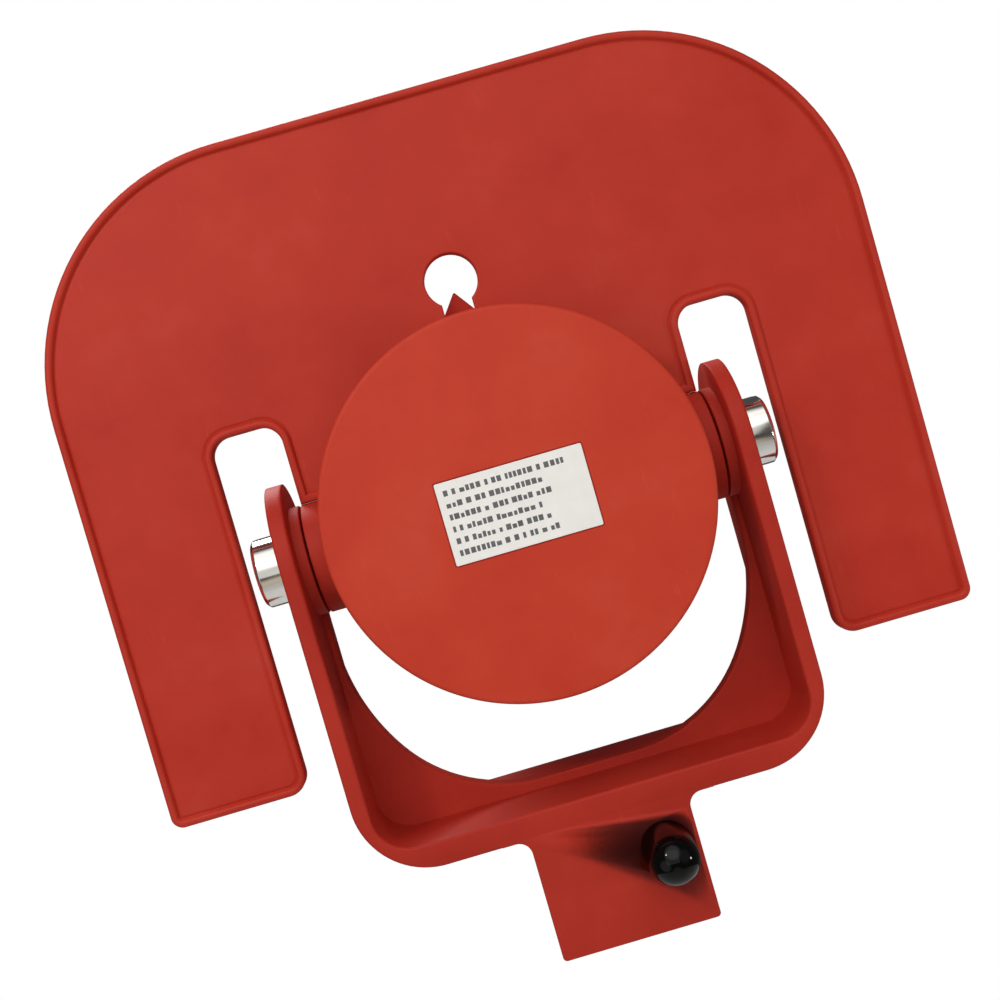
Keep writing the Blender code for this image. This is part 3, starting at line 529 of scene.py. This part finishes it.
paper_white = plastic("label_paper", (0.95, 0.935, 0.90), 0.45, 0.58, 0.02, 260.0, 0.5, 0.025)
print_grey = plastic("label_print", (0.13, 0.13, 0.135), 0.45, 0.60, 0.02, 900.0)

glass, glass_tree, glass_shader = new_finish(
    "optical_glass", Transmission_Weight=1.0, IOR=1.52, Base_Color=(0.93, 0.97, 0.96, 1.0),
)
coating = noise(glass_tree, 60.0, 2.0)
link(glass_tree, span_to(glass_tree, coating, 0.0, 0.012), "Result", glass_shader, "Roughness")
print("finishes:", len(bpy.data.materials))

# %% [markdown]
# ## Finishing a piece
# Each new piece gets its material, rides on a body, and may stand for a node of the imported model.


def register(piece, body, material, *nodes, sharp=40.0):
    """Finish a piece: material, crease angle, body and the nodes it stands for."""
    piece.data.materials.clear()
    piece.data.materials.append(material)
    piece.data.set_sharp_from_angle(angle=math.radians(sharp))
    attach(piece, body)
    if nodes:
        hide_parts(*nodes)
    print(f"{piece.name}: {len(piece.data.polygons)} faces, rides on {body}")


# %% [markdown]
# ## The target plate
# The plate is one slab.  Its edge profile changes along the outline: round the outside
# and the slots it climbs to a raised rim, and round the arch and the keyhole-shaped
# sight it is a plain small radius.  A weight from 0 to 1 blends the two profiles.

# %% Target plate
half_width = plate_high[0]
SLOT_IN, SLOT_OUT, SLOT_TOP = 0.0405, 0.0546, axis_z + 0.0277
ARCH_RADIUS, SIGHT_RADIUS, SIGHT_Z, NECK_HALF = 0.033, 0.00524, axis_z + 0.0452, 0.00305
PANEL_REAR, PANEL_FRONT = plate_low[1] + 0.003, plate_low[1]
TRUNNION_RADIUS = 0.0110
FOOT_Z = axis_z + TRUNNION_RADIUS + 0.00002


def plate_half():
    """The +X half of the outline from the top middle round to the top of the sight,
    with the rim's weight at each point."""
    outer = rounded([
        (0.0, plate_high[2], 0.0),
        (half_width, plate_high[2], 0.045),
        (half_width, plate_low[2], 0.0024),
        (SLOT_OUT, plate_low[2], 0.004),
        (SLOT_OUT, SLOT_TOP, 0.004),
        (SLOT_IN, SLOT_TOP, 0.004),
        (SLOT_IN, FOOT_Z, 0.0008),
    ], 28, closed=False)
    start = math.degrees(math.asin((FOOT_Z - axis_z) / ARCH_RADIUS))
    end = math.degrees(math.acos(NECK_HALF / ARCH_RADIUS))
    arch = arc_points((0.0, axis_z), ARCH_RADIUS, start, end, 30)
    rise = math.degrees(math.asin(NECK_HALF / SIGHT_RADIUS))
    sight = arc_points((0.0, SIGHT_Z), SIGHT_RADIUS, -90.0 + rise, 90.0, 24)
    plain = np.vstack([arch, sight])
    weights = np.concatenate([np.ones(len(outer)), np.zeros(len(plain))])
    return np.vstack([outer, plain]), weights


right_half, right_weight = plate_half()
left_half = right_half[-2:0:-1] * np.array([-1.0, 1.0])
plate_outline = np.vstack([right_half, left_half])
rim_weight = np.concatenate([right_weight, right_weight[-2:0:-1]])
arch_side = (np.abs(plate_outline[:, 0]) < SLOT_IN - 0.001) & (plate_outline[:, 1] < FOOT_Z + 0.0001)
rim_weight[arch_side] = 0.0
bead = np.radians(np.linspace(150.0, 0.0, 11))
rim_in = np.concatenate([[2.35, 2.10, 1.95, 1.80, 1.66], 0.80 - 0.80 * np.cos(bead)]) * MM
rim_up = np.concatenate([[0.00, -0.02, -0.13, -0.15, 0.02], 0.80 * np.sin(bead) ** 0.8]) * MM
plain_in = np.concatenate([np.linspace(0.80, 0.40, 10), [0.34, 0.24, 0.14, 0.07, 0.02, 0.0]]) * MM
plain_up = np.concatenate([np.zeros(10), [-0.01, -0.05, -0.12, -0.19, -0.28, -0.40]]) * MM
front_in, front_along = round_edge(0.35 * MM, PANEL_FRONT, PANEL_REAR, 4)
front_part = front_along < PANEL_FRONT + 0.5 * MM
front_in, front_along = front_in[front_part][::-1], front_along[front_part][::-1]
weight = rim_weight[:, None]
edge_in = np.hstack([
    rim_in * weight + plain_in * (1.0 - weight),
    np.tile(front_in, (len(plate_outline), 1)),
])
edge_up = np.hstack([
    PANEL_REAR + rim_up * weight + plain_up * (1.0 - weight),
    np.tile(front_along, (len(plate_outline), 1)),
])
plate = slab("plate_moulding", plate_outline, edge_in, edge_up)
register(plate, "plate", plate_red, "target_plate")
print(f"slot top {SLOT_TOP / MM:.1f} mm, foot {(FOOT_Z - axis_z) / MM:.2f} mm over the tilt axis")

# %% [markdown]
# ### Front foils
# Three pale wedges on the front point at the glass.  They are thin slabs with a soft edge.

# %% Foils
foil_low, foil_high = span("target_wedge_right")
wedge_in, wedge_along = round_edge(0.06 * MM, foil_low[1], PANEL_FRONT + 0.0001, 3)
side_wedge = np.array([[foil_low[0], axis_z], [foil_high[0], foil_high[2]], [foil_high[0], foil_low[2]]])
top_low, top_high = span("target_wedge_top")
top_wedge = np.array([[0.0, top_low[2]], [top_high[0], top_high[2]], [top_low[0], top_high[2]]])
for label, triangle in (
    ("right", side_wedge),
    ("left", side_wedge * np.array([-1.0, 1.0])),
    ("top", top_wedge),
):
    corners = [(x, z, 0.0006) for x, z in triangle]
    foil = slab(f"foil_{label}", rounded(corners, 5), wedge_in, wedge_along)
    register(foil, "plate", foil_white, f"target_wedge_{label}")

# %% [markdown]
# ## The yoke's U
# The U is a loft: at each step along the path, the cross-section is a rounded rectangle
# between the inner and the outer line of the wall.  Above the tilt axis its depth shrinks
# as a half circle, which gives the arms their round ends.

# %% U frame
OUTER_X, INNER_X = yoke_high[0], 0.0431
FLOOR_Z, FLOOR_TOP = 0.0242, 0.0292
HALF_DEPTH = yoke_high[1]


def u_line(side_x, floor_z, corner, rise):
    """Half of a U line, from the middle of the floor to the arm's top: straight, quarter
    arc, straight, then the heights of the rounded end."""
    floor = np.column_stack([np.linspace(0.0, side_x - corner, 12), np.full(12, floor_z)])
    bend = arc_points((side_x - corner, floor_z + corner), corner, -90.0, 0.0, 20)
    wall = np.column_stack([np.full(16, side_x), np.linspace(floor_z + corner, axis_z, 16)])
    tip = np.column_stack([np.full(len(rise), side_x), rise])
    return np.vstack([floor, bend[1:], wall[1:], tip])


def u_frame():
    """Rings of a rounded rectangle: across it runs from the inner to the outer line, and
    its half depth is HALF_DEPTH, then HALF_DEPTH times the cosine of the end's angle."""
    angles = np.radians(np.linspace(3.0, 90.0, 30))
    rise = axis_z + HALF_DEPTH * np.sin(angles)
    outer = u_line(OUTER_X, FLOOR_Z, 0.0148, rise)
    inner = u_line(INNER_X, FLOOR_TOP, 0.007, rise)
    depth = np.concatenate([np.full(len(outer) - len(rise), HALF_DEPTH), HALF_DEPTH * np.cos(angles)])
    depth = np.maximum(depth, 0.0002)
    mirror = np.array([-1.0, 1.0])
    outer = np.vstack([outer[:0:-1] * mirror, outer])
    inner = np.vstack([inner[:0:-1] * mirror, inner])
    depth = np.concatenate([depth[:0:-1], depth])
    middle = (outer + inner) / 2.0
    across = (outer - inner) / 2.0
    width = np.linalg.norm(across, axis=1)
    across /= width[:, None]
    edge = np.minimum(0.0007, depth * 0.9)
    sector = np.radians(np.concatenate([np.linspace(q, q + 90.0, 6) for q in (0.0, 90.0, 180.0, 270.0)]))
    cosine, sine = np.cos(sector), np.sin(sector)
    side = np.repeat([1.0, -1.0, -1.0, 1.0], 6)
    face = np.repeat([1.0, 1.0, -1.0, -1.0], 6)
    a = (width - edge)[:, None] * side + edge[:, None] * cosine
    y = (depth - edge)[:, None] * face + edge[:, None] * sine
    x = middle[:, 0][:, None] + across[:, 0][:, None] * a
    z = middle[:, 1][:, None] + across[:, 1][:, None] * a
    rings = np.stack([x, y, z], axis=-1)
    rows, columns = rings.shape[:2]
    last = (rows - 1) * columns
    return closed_mesh("yoke_arms", rings, grid_faces(rows, columns),
                       [np.arange(columns)[::-1], last + np.arange(columns)])


register(u_frame(), "yoke", yoke_red, "yoke_frame")

# %% [markdown]
# ## Web, ledge and bosses
# A thin web ties the arms together.  Its opening is a circle that the tilting housing
# clears, cut off by a flat ledge over the stem.  The bosses face the trunnions.

# %% Web and ledge
WEB_REAR, WEB_FRONT = -0.001, -0.005
OPENING_RADIUS, OPENING_Z, LEDGE_Z, LEDGE_FRONT = 0.0421, 0.0679, 0.0312, -0.0135
BLEND_RADIUS, LEDGE_HALF = 0.030, 0.0262


def opening_line(steps=40):
    """The opening's edge from the -X side over the flat to the +X side.  The large arc
    runs into the flat through a smaller arc that touches both: its centre lies
    BLEND_RADIUS above the flat, and OPENING_RADIUS - BLEND_RADIUS from the large centre."""
    rise = OPENING_Z - LEDGE_Z - BLEND_RADIUS
    reach = OPENING_RADIUS - BLEND_RADIUS
    side = math.sqrt(reach ** 2 - rise ** 2)
    turn = math.degrees(math.atan2(rise, side))
    large = arc_points((0.0, OPENING_Z), OPENING_RADIUS, 0.0, -turn, steps)
    small = arc_points((side, LEDGE_Z + BLEND_RADIUS), BLEND_RADIUS, -turn, -90.0, 16)
    half = np.vstack([large, small[1:]])
    return np.vstack([half * np.array([-1.0, 1.0]), half[::-1]])


opening = opening_line()
wall_middle = (INNER_X + OUTER_X) / 2.0
web_back = rounded([
    (OPENING_RADIUS, axis_z + 0.004, 0.0),
    (wall_middle, axis_z + 0.004, 0.0),
    (wall_middle, FLOOR_Z + 0.0025, 0.0105),
    (-wall_middle, FLOOR_Z + 0.0025, 0.0105),
    (-wall_middle, axis_z + 0.004, 0.0),
    (-OPENING_RADIUS, axis_z + 0.004, 0.0),
], 12)
web_in, web_along = round_edge(0.0004, WEB_FRONT, WEB_REAR, 3)
web = slab("yoke_web", np.vstack([web_back, opening]), web_in, web_along)
register(web, "yoke", yoke_red)
ledge_outline = rounded([
    (-LEDGE_HALF, FLOOR_Z + 0.002, 0.0), (LEDGE_HALF, FLOOR_Z + 0.002, 0.0),
    (LEDGE_HALF, LEDGE_Z - 0.00004, 0.0006), (-LEDGE_HALF, LEDGE_Z - 0.00004, 0.0006),
], 5)
ledge_in, ledge_along = round_edge(0.0004, LEDGE_FRONT, WEB_REAR - 0.0004, 3)
register(slab("yoke_ledge", ledge_outline, ledge_in, ledge_along), "yoke", yoke_red)
BOSS_FACE, BOSS_RADIUS, SEAT_RADIUS = 0.04110, 0.011, 0.0083
for label, sign in (("left", -1.0), ("right", 1.0)):
    boss = rounded([
        (SEAT_RADIUS, sign * (INNER_X + 0.001), 0.0),
        (BOSS_RADIUS, sign * (INNER_X + 0.001), 0.0),
        (BOSS_RADIUS, sign * BOSS_FACE, 0.0003),
        (SEAT_RADIUS, sign * BOSS_FACE, 0.0002),
    ], 4)
    register(turned(f"arm_boss_{label}", boss, "X", (0.0, 0.0, axis_z), 72), "yoke", yoke_red)

# %% [markdown]
# ## The stem and its bores
# The stem flows out of the floor through two small fillets.  Its socket and the lock's
# stepped bore cross at right angles, which no single profile gives, so both are cut
# from the slab by turned cutters and the result is kept as a plain mesh.

# %% Stem
STEM_HALF, FILLET = 0.0156, 0.0026
stem_outline = rounded([
    (-STEM_HALF, 0.0, 0.0008), (STEM_HALF, 0.0, 0.0008),
    (STEM_HALF, FLOOR_Z, FILLET), (STEM_HALF + 2.0 * FILLET, FLOOR_Z, 0.0),
    (STEM_HALF + 2.0 * FILLET, FLOOR_Z + 0.0026, 0.0),
    (-STEM_HALF - 2.0 * FILLET, FLOOR_Z + 0.0026, 0.0),
    (-STEM_HALF - 2.0 * FILLET, FLOOR_Z, 0.0), (-STEM_HALF, FLOOR_Z, FILLET),
], 8)
STEM_DEPTH = HALF_DEPTH - 0.00002
stem_in, stem_along = round_edge(0.0003, -STEM_DEPTH, STEM_DEPTH, 3)
stem = slab("yoke_stem", stem_outline, stem_in, stem_along)
lock_x, lock_z = middle("lock_knob")[[0, 2]]
flange_radius = span("stub_bush")[1][0] + 0.3 * MM
socket_cut = [
    (0.0, -0.002), (flange_radius, -0.002), (flange_radius, 0.0015), (0.0078, 0.0015),
    (0.0078, 0.0285), (0.0, 0.0285),
]
pocket_radius, bore_radius, pocket_floor = 0.00518, 0.0043, knob_low[1] - 0.0055
lock_cut = [
    (0.0, -0.0134), (bore_radius, -0.0134), (bore_radius, pocket_floor),
    (pocket_radius, pocket_floor), (pocket_radius, HALF_DEPTH - 0.0002),
    (pocket_radius + 0.0004, HALF_DEPTH + 0.0002), (pocket_radius + 0.0004, 0.0180), (0.0, 0.0180),
]
stop_y, stop_z = middle("lock_stop_pin")[1:]
stop_cut = [(0.0, -0.018), (0.0012, -0.018), (0.0012, -0.0115), (0.0, -0.0115)]
cutters = [
    turned("socket_cut", socket_cut, "Z", (0.0, 0.0, 0.0), 64),
    turned("lock_cut", lock_cut, "Y", (lock_x, 0.0, lock_z), 64),
    turned("stop_cut", stop_cut, "X", (0.0, stop_y, stop_z), 32),
]


def carve(piece, tools):
    """Cut the tools out of a piece and keep the result as its mesh."""
    for tool in tools:
        modifier = piece.modifiers.new(tool.name, "BOOLEAN")
        modifier.operation = "DIFFERENCE"
        modifier.solver = "EXACT"
        modifier.object = tool
    bpy.context.view_layer.update()
    evaluated = piece.evaluated_get(bpy.context.evaluated_depsgraph_get())
    carved = bpy.data.meshes.new_from_object(evaluated)
    piece.modifiers.clear()
    piece.data = carved
    for tool in tools:
        bpy.data.objects.remove(tool, do_unlink=True)
    return piece


register(carve(stem, cutters), "yoke", yoke_red, sharp=14.0)

# %% [markdown]
# ## Housing, trunnions and pointer
# The barrel is turned: a long front part, a waist that the plate drops over, and a spigot
# for the cover.  Two trunnions leave it sideways, and a small pointer stands on top.

# %% Housing
BARREL_RADIUS, MOUTH_RADIUS, WAIST_RADIUS, SPIGOT_RADIUS = 0.0345, 0.0329, 0.0323, 0.0339
THREAD_RADIUS, BORE_RADIUS = 0.0314, 0.0294
WAIST_FRONT, WAIST_REAR, BORE_START, THREAD_START, SEAT_FLOOR = -0.006, 0.0113, -0.010, -0.012, -0.0367
barrel_front, barrel_rear = housing_low[1], housing_high[1]
barrel = rounded([
    (MOUTH_RADIUS, barrel_front, 0.0002),
    (BARREL_RADIUS, barrel_front, 0.0007),
    (BARREL_RADIUS, WAIST_FRONT, 0.0005),
    (WAIST_RADIUS, WAIST_FRONT, 0.0003),
    (WAIST_RADIUS, WAIST_REAR, 0.0003),
    (SPIGOT_RADIUS, WAIST_REAR, 0.0002),
    (SPIGOT_RADIUS, barrel_rear, 0.0002),
    (BORE_RADIUS, barrel_rear, 0.0002),
    (BORE_RADIUS, BORE_START, 0.0),
    (THREAD_RADIUS, THREAD_START, 0.0),
    (THREAD_RADIUS, SEAT_FLOOR, 0.0),
    (MOUTH_RADIUS, SEAT_FLOOR, 0.0),
], 4)
centre = (0.0, 0.0, axis_z)
register(turned("housing_barrel", barrel, "Y", centre, 160), "prism", yoke_red, "prism_housing")
TRUNNION_ROOT, BUSH_RADIUS, STEP_DEPTH = 0.0300, 0.0058, 0.6 * MM
trunnion_face = BOSS_FACE - 0.4 * MM
for label, sign in (("left", -1.0), ("right", 1.0)):
    trunnion = rounded([
        (SEAT_RADIUS, sign * TRUNNION_ROOT, 0.0),
        (TRUNNION_RADIUS, sign * TRUNNION_ROOT, 0.0),
        (TRUNNION_RADIUS, sign * trunnion_face, 0.0003),
        (SEAT_RADIUS, sign * trunnion_face, 0.0002),
        (SEAT_RADIUS, sign * (trunnion_face - STEP_DEPTH), 0.0),
        (BUSH_RADIUS, sign * (trunnion_face - STEP_DEPTH), 0.0),
        (BUSH_RADIUS, sign * TRUNNION_ROOT, 0.0),
    ], 4)
    register(turned(f"trunnion_{label}", trunnion, "X", centre, 80), "prism", yoke_red)
pointer_apex = housing_high[2]
pointer_base = axis_z + 0.0335
pointer_half = (pointer_apex - pointer_base) * math.tan(math.radians(37.0))
pointer_outline = rounded([
    (-pointer_half, pointer_base, 0.0),
    (pointer_half, pointer_base, 0.0),
    (0.0, pointer_apex + 0.0002, 0.0003),
], 5)
pointer_in, pointer_along = round_edge(0.0003, -0.009, -0.0048, 3)
register(slab("sight_pointer", pointer_outline, pointer_in, pointer_along), "prism", yoke_red)

# %% [markdown]
# ## Cover and label
# The cover is a shallow cup with a rounded brim.  A pocket for the label is cut from its
# flat face, and the label lies in the pocket, so a thin dark line shows round the paper.

# %% Cover
FACE_EDGE, CUP_RADIUS, CUP_FLOOR = 1.1 * MM, 0.0342, 0.0173
cover_profile = rounded([
    (0.0, cover_high[1], 0.0),
    (cover_radius - FACE_EDGE, cover_high[1], 0.0),
    (cover_radius, cover_high[1], 0.0008),
    (cover_radius, cover_low[1], 0.0004),
    (CUP_RADIUS, cover_low[1], 0.0002),
    (CUP_RADIUS, CUP_FLOOR, 0.0),
    (0.0, CUP_FLOOR, 0.0),
], 8, closed=False)
cover = turned("cover_disc", cover_profile, "Y", centre, 180)


def card(margin, corner):
    """The label's outline, grown by a margin, with rounded corners."""
    left, right = label_low[0] - margin, label_high[0] + margin
    bottom, top = label_low[2] - margin, label_high[2] + margin
    return rounded([
        (left, bottom, corner), (right, bottom, corner), (right, top, corner), (left, top, corner),
    ], 4)


pocket_in, pocket_along = round_edge(0.00005, cover_high[1] - 0.0005, cover_high[1] + 0.001, 2)
pocket_tool = slab("label_pocket", card(0.25 * MM, 0.5 * MM), pocket_in, pocket_along)
register(carve(cover, [pocket_tool]), "prism", cover_red, "rear_cover", sharp=30.0)
paper_in, paper_along = round_edge(0.00005, cover_high[1] - 0.0006, cover_high[1] - 0.00005, 2)
register(slab("label_card", card(0.0, 0.3 * MM), paper_in, paper_along), "prism", paper_white, "label_plate")

# %% [markdown]
# ### Lines on the label
# The label carries six short rows of small print, which plain grey dashes stand for.
# Each dash is a thin bar, and their lengths come from a seeded random generator.

# %% Label rows
def label_rows(rows=6, seed=7):
    """Bars in left-aligned rows: lengths drawn at random, gaps between them fixed."""
    draw = np.random.default_rng(seed)
    left = label_high[0] - 0.0013
    pitch = (label_high[2] - label_low[2] - 0.0020) / rows
    row_length = (0.0235, 0.0185, 0.0200, 0.0172, 0.0178, 0.0190)
    boxes = []
    for row in range(rows):
        x = left
        z = label_high[2] - 0.0010 - pitch * (row + 0.5)
        while x > left - row_length[row]:
            width = draw.uniform(0.00050, 0.00100)
            top = z + draw.choice([0.00030, 0.00058, 0.00058])
            boxes.append((x - width, x, z - 0.00050, top))
            x -= width + draw.uniform(0.00022, 0.00034) + (0.0005 if draw.random() < 0.28 else 0.0)
    back, face = cover_high[1] - 0.1 * MM, cover_high[1] - 0.03 * MM
    corner = np.array([[(x0, back, z0), (x1, back, z0), (x1, back, z1), (x0, back, z1),
                        (x0, face, z0), (x1, face, z0), (x1, face, z1), (x0, face, z1)]
                       for x0, x1, z0, z1 in boxes])
    cube = np.array([(0, 1, 2, 3), (7, 6, 5, 4), (0, 4, 5, 1), (1, 5, 6, 2), (2, 6, 7, 3), (3, 7, 4, 0)])
    faces = (cube[None] + 8 * np.arange(len(boxes))[:, None, None]).reshape(-1, 4)
    return closed_mesh("label_dashes", corner, faces)


register(label_rows(), "prism", print_grey)

# %% [markdown]
# ## Pivot screws
# The screw heads are chromed, with a broad chamfer and a coin slot.  The head is turned
# and the slot cut from it; its finish has fine turning rings.

# %% Screws
HEAD_RADIUS, HEAD_UNDER, SHANK_RADIUS = 0.0069, 0.0467, 0.0030
SLOT_HALF, SLOT_REACH, SLOT_DEPTH = 0.9 * MM, 9.0 * MM, 1.8 * MM
for label, sign in (("left", -1.0), ("right", 1.0)):
    low, high = span(f"pivot_screw_{label}")
    shank_end, outer = sorted((abs(low[0]), abs(high[0])))
    profile = rounded([
        (0.0, sign * outer, 0.0),
        (0.0042, sign * (outer - 0.0001), 0.0),
        (0.0062, sign * (outer - 0.0003), 0.0004),
        (HEAD_RADIUS, sign * (outer - 0.0010), 0.0003),
        (HEAD_RADIUS, sign * (HEAD_UNDER + 0.0004), 0.0),
        (HEAD_RADIUS - 0.0003, sign * HEAD_UNDER, 0.0),
        (SHANK_RADIUS, sign * HEAD_UNDER, 0.0),
        (SHANK_RADIUS, sign * shank_end, 0.0),
        (0.0, sign * shank_end, 0.0),
    ], 5, closed=False)
    screw = turned(f"screw_{label}", profile, "X", centre, 96)
    slot_outline = rounded([
        (-SLOT_HALF, axis_z - SLOT_REACH, 0.0), (SLOT_HALF, axis_z - SLOT_REACH, 0.0),
        (SLOT_HALF, axis_z + SLOT_REACH, 0.0), (-SLOT_HALF, axis_z + SLOT_REACH, 0.0),
    ], 2)
    reach = sorted((sign * (outer - SLOT_DEPTH), sign * (outer + MM)))
    slot_tool = slab(f"slot_{label}", slot_outline, *round_edge(0.0001, *reach, 2), axis="X")
    register(carve(screw, [slot_tool]), "prism", chrome, f"pivot_screw_{label}", sharp=28.0)

# %% [markdown]
# ## The lock knob
# The knob is a glossy black dome on a very slight taper.  It is turned from a straight
# skirt and a half circle.

# %% Knob
knob_radius = (knob_high[0] - knob_low[0]) / 2.0
TIP_RADIUS = 0.0048
knob_tip = knob_high[1] - 0.0012
dome_middle = knob_tip - TIP_RADIUS
knob_profile = np.vstack([
    [(0.0, knob_low[1] + 0.0003)],
    [(0.0028, knob_low[1] + 0.0003), (0.0030, knob_low[1])],
    arc_points((knob_radius - 0.0005, knob_low[1] + 0.0005), 0.0005, -90.0, 0.0, 4),
    [(knob_radius, knob_low[1] + 0.004)],
    arc_points((0.0, dome_middle), TIP_RADIUS, 2.0, 89.0, 22),
    [(0.0, knob_tip)],
])
knob = turned("knob_dome", knob_profile, "Y", (lock_x, 0.0, lock_z), 72)
register(knob, "button", knob_black, "lock_knob")

# %% [markdown]
# ## Retaining ring
# The glass is held by a black threaded ring with two spanner notches.

# %% Ring
ring_front, ring_back = ring_low[1], -0.0406
NOTCH_MIDDLE, NOTCH_HALF_WIDTH, NOTCH_HALF_HEIGHT = 0.031, 1.0 * MM, 1.2 * MM
ring_profile = rounded([
    (BORE_RADIUS, ring_front, 0.0004), (0.0326, ring_front, 0.0003),
    (0.0326, ring_high[1], 0.0), (THREAD_RADIUS, ring_high[1], 0.0),
    (THREAD_RADIUS, ring_back, 0.0), (BORE_RADIUS, ring_back, 0.0002),
], 4)
ring = turned("glass_ring", ring_profile, "Y", centre, 160)
notches = []
for sign in (-1.0, 1.0):
    near, far = sign * NOTCH_MIDDLE - NOTCH_HALF_WIDTH, sign * NOTCH_MIDDLE + NOTCH_HALF_WIDTH
    low, high = axis_z - NOTCH_HALF_HEIGHT, axis_z + NOTCH_HALF_HEIGHT
    notch = rounded([(near, low, 0.0), (far, low, 0.0), (far, high, 0.0), (near, high, 0.0)], 2)
    edge = round_edge(0.0001, ring_front - 0.001, ring_front + 0.0005, 2)
    notches.append(slab(f"notch_{int(sign)}", notch, *edge))
register(carve(ring, notches), "prism", satin_black, "retaining_ring", sharp=30.0)

# %% [markdown]
# ## Nodes that stay
# The glass, bushes, washers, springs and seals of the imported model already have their
# final shape, so they only take a finish.

# %% Carried-over nodes
KEPT = {
    "prism_glass": glass,
    "stub_bush": steel, "lock_pin": steel, "lock_spring": steel, "lock_stop_pin": steel,
    "spring_washer_left": steel, "spring_washer_right": steel, "wave_spring": steel,
    "pivot_bush_left": bearing_black, "pivot_bush_right": bearing_black,
    "friction_washer_left": bearing_black, "friction_washer_right": bearing_black,
    "trunnion_insert_left": brass, "trunnion_insert_right": brass,
    "cover_seal": seal_rubber, "front_seal": seal_rubber, "pressure_cup": satin_black,
}
for node, material in KEPT.items():
    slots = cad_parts[node].data.materials
    if len(slots):
        slots[0] = material
    else:
        slots.append(material)
print("kept nodes:", len(KEPT))

# %% [markdown]
# ## The floor
# A wide pale disc far below stands for the studio floor.  It is staging, not part of the
# object, and lies low enough to stay out of the camera's view.

# %% Floor
FLOOR_DEPTH, FLOOR_THICK, FLOOR_RADIUS, FLOOR_SIDES = -0.35, 0.01, 0.60, 144
rim = arc_points((0.0, 0.0), FLOOR_RADIUS, 0.0, 360.0, FLOOR_SIDES)[:-1]
floor_points = np.vstack([
    np.column_stack([rim, np.full(FLOOR_SIDES, height)])
    for height in (FLOOR_DEPTH, FLOOR_DEPTH - FLOOR_THICK)
])
top_side = np.arange(FLOOR_SIDES)
floor = closed_mesh(
    "studio_floor", floor_points, grid_faces(2, FLOOR_SIDES), [top_side[::-1], FLOOR_SIDES + top_side],
)
floor_white = plastic("floor_white", (0.93, 0.93, 0.93), 0.7, 0.9, 0.02, 12.0, 0.2, 0.01)
floor.data.materials.append(floor_white)
print("floor radius", FLOOR_RADIUS)
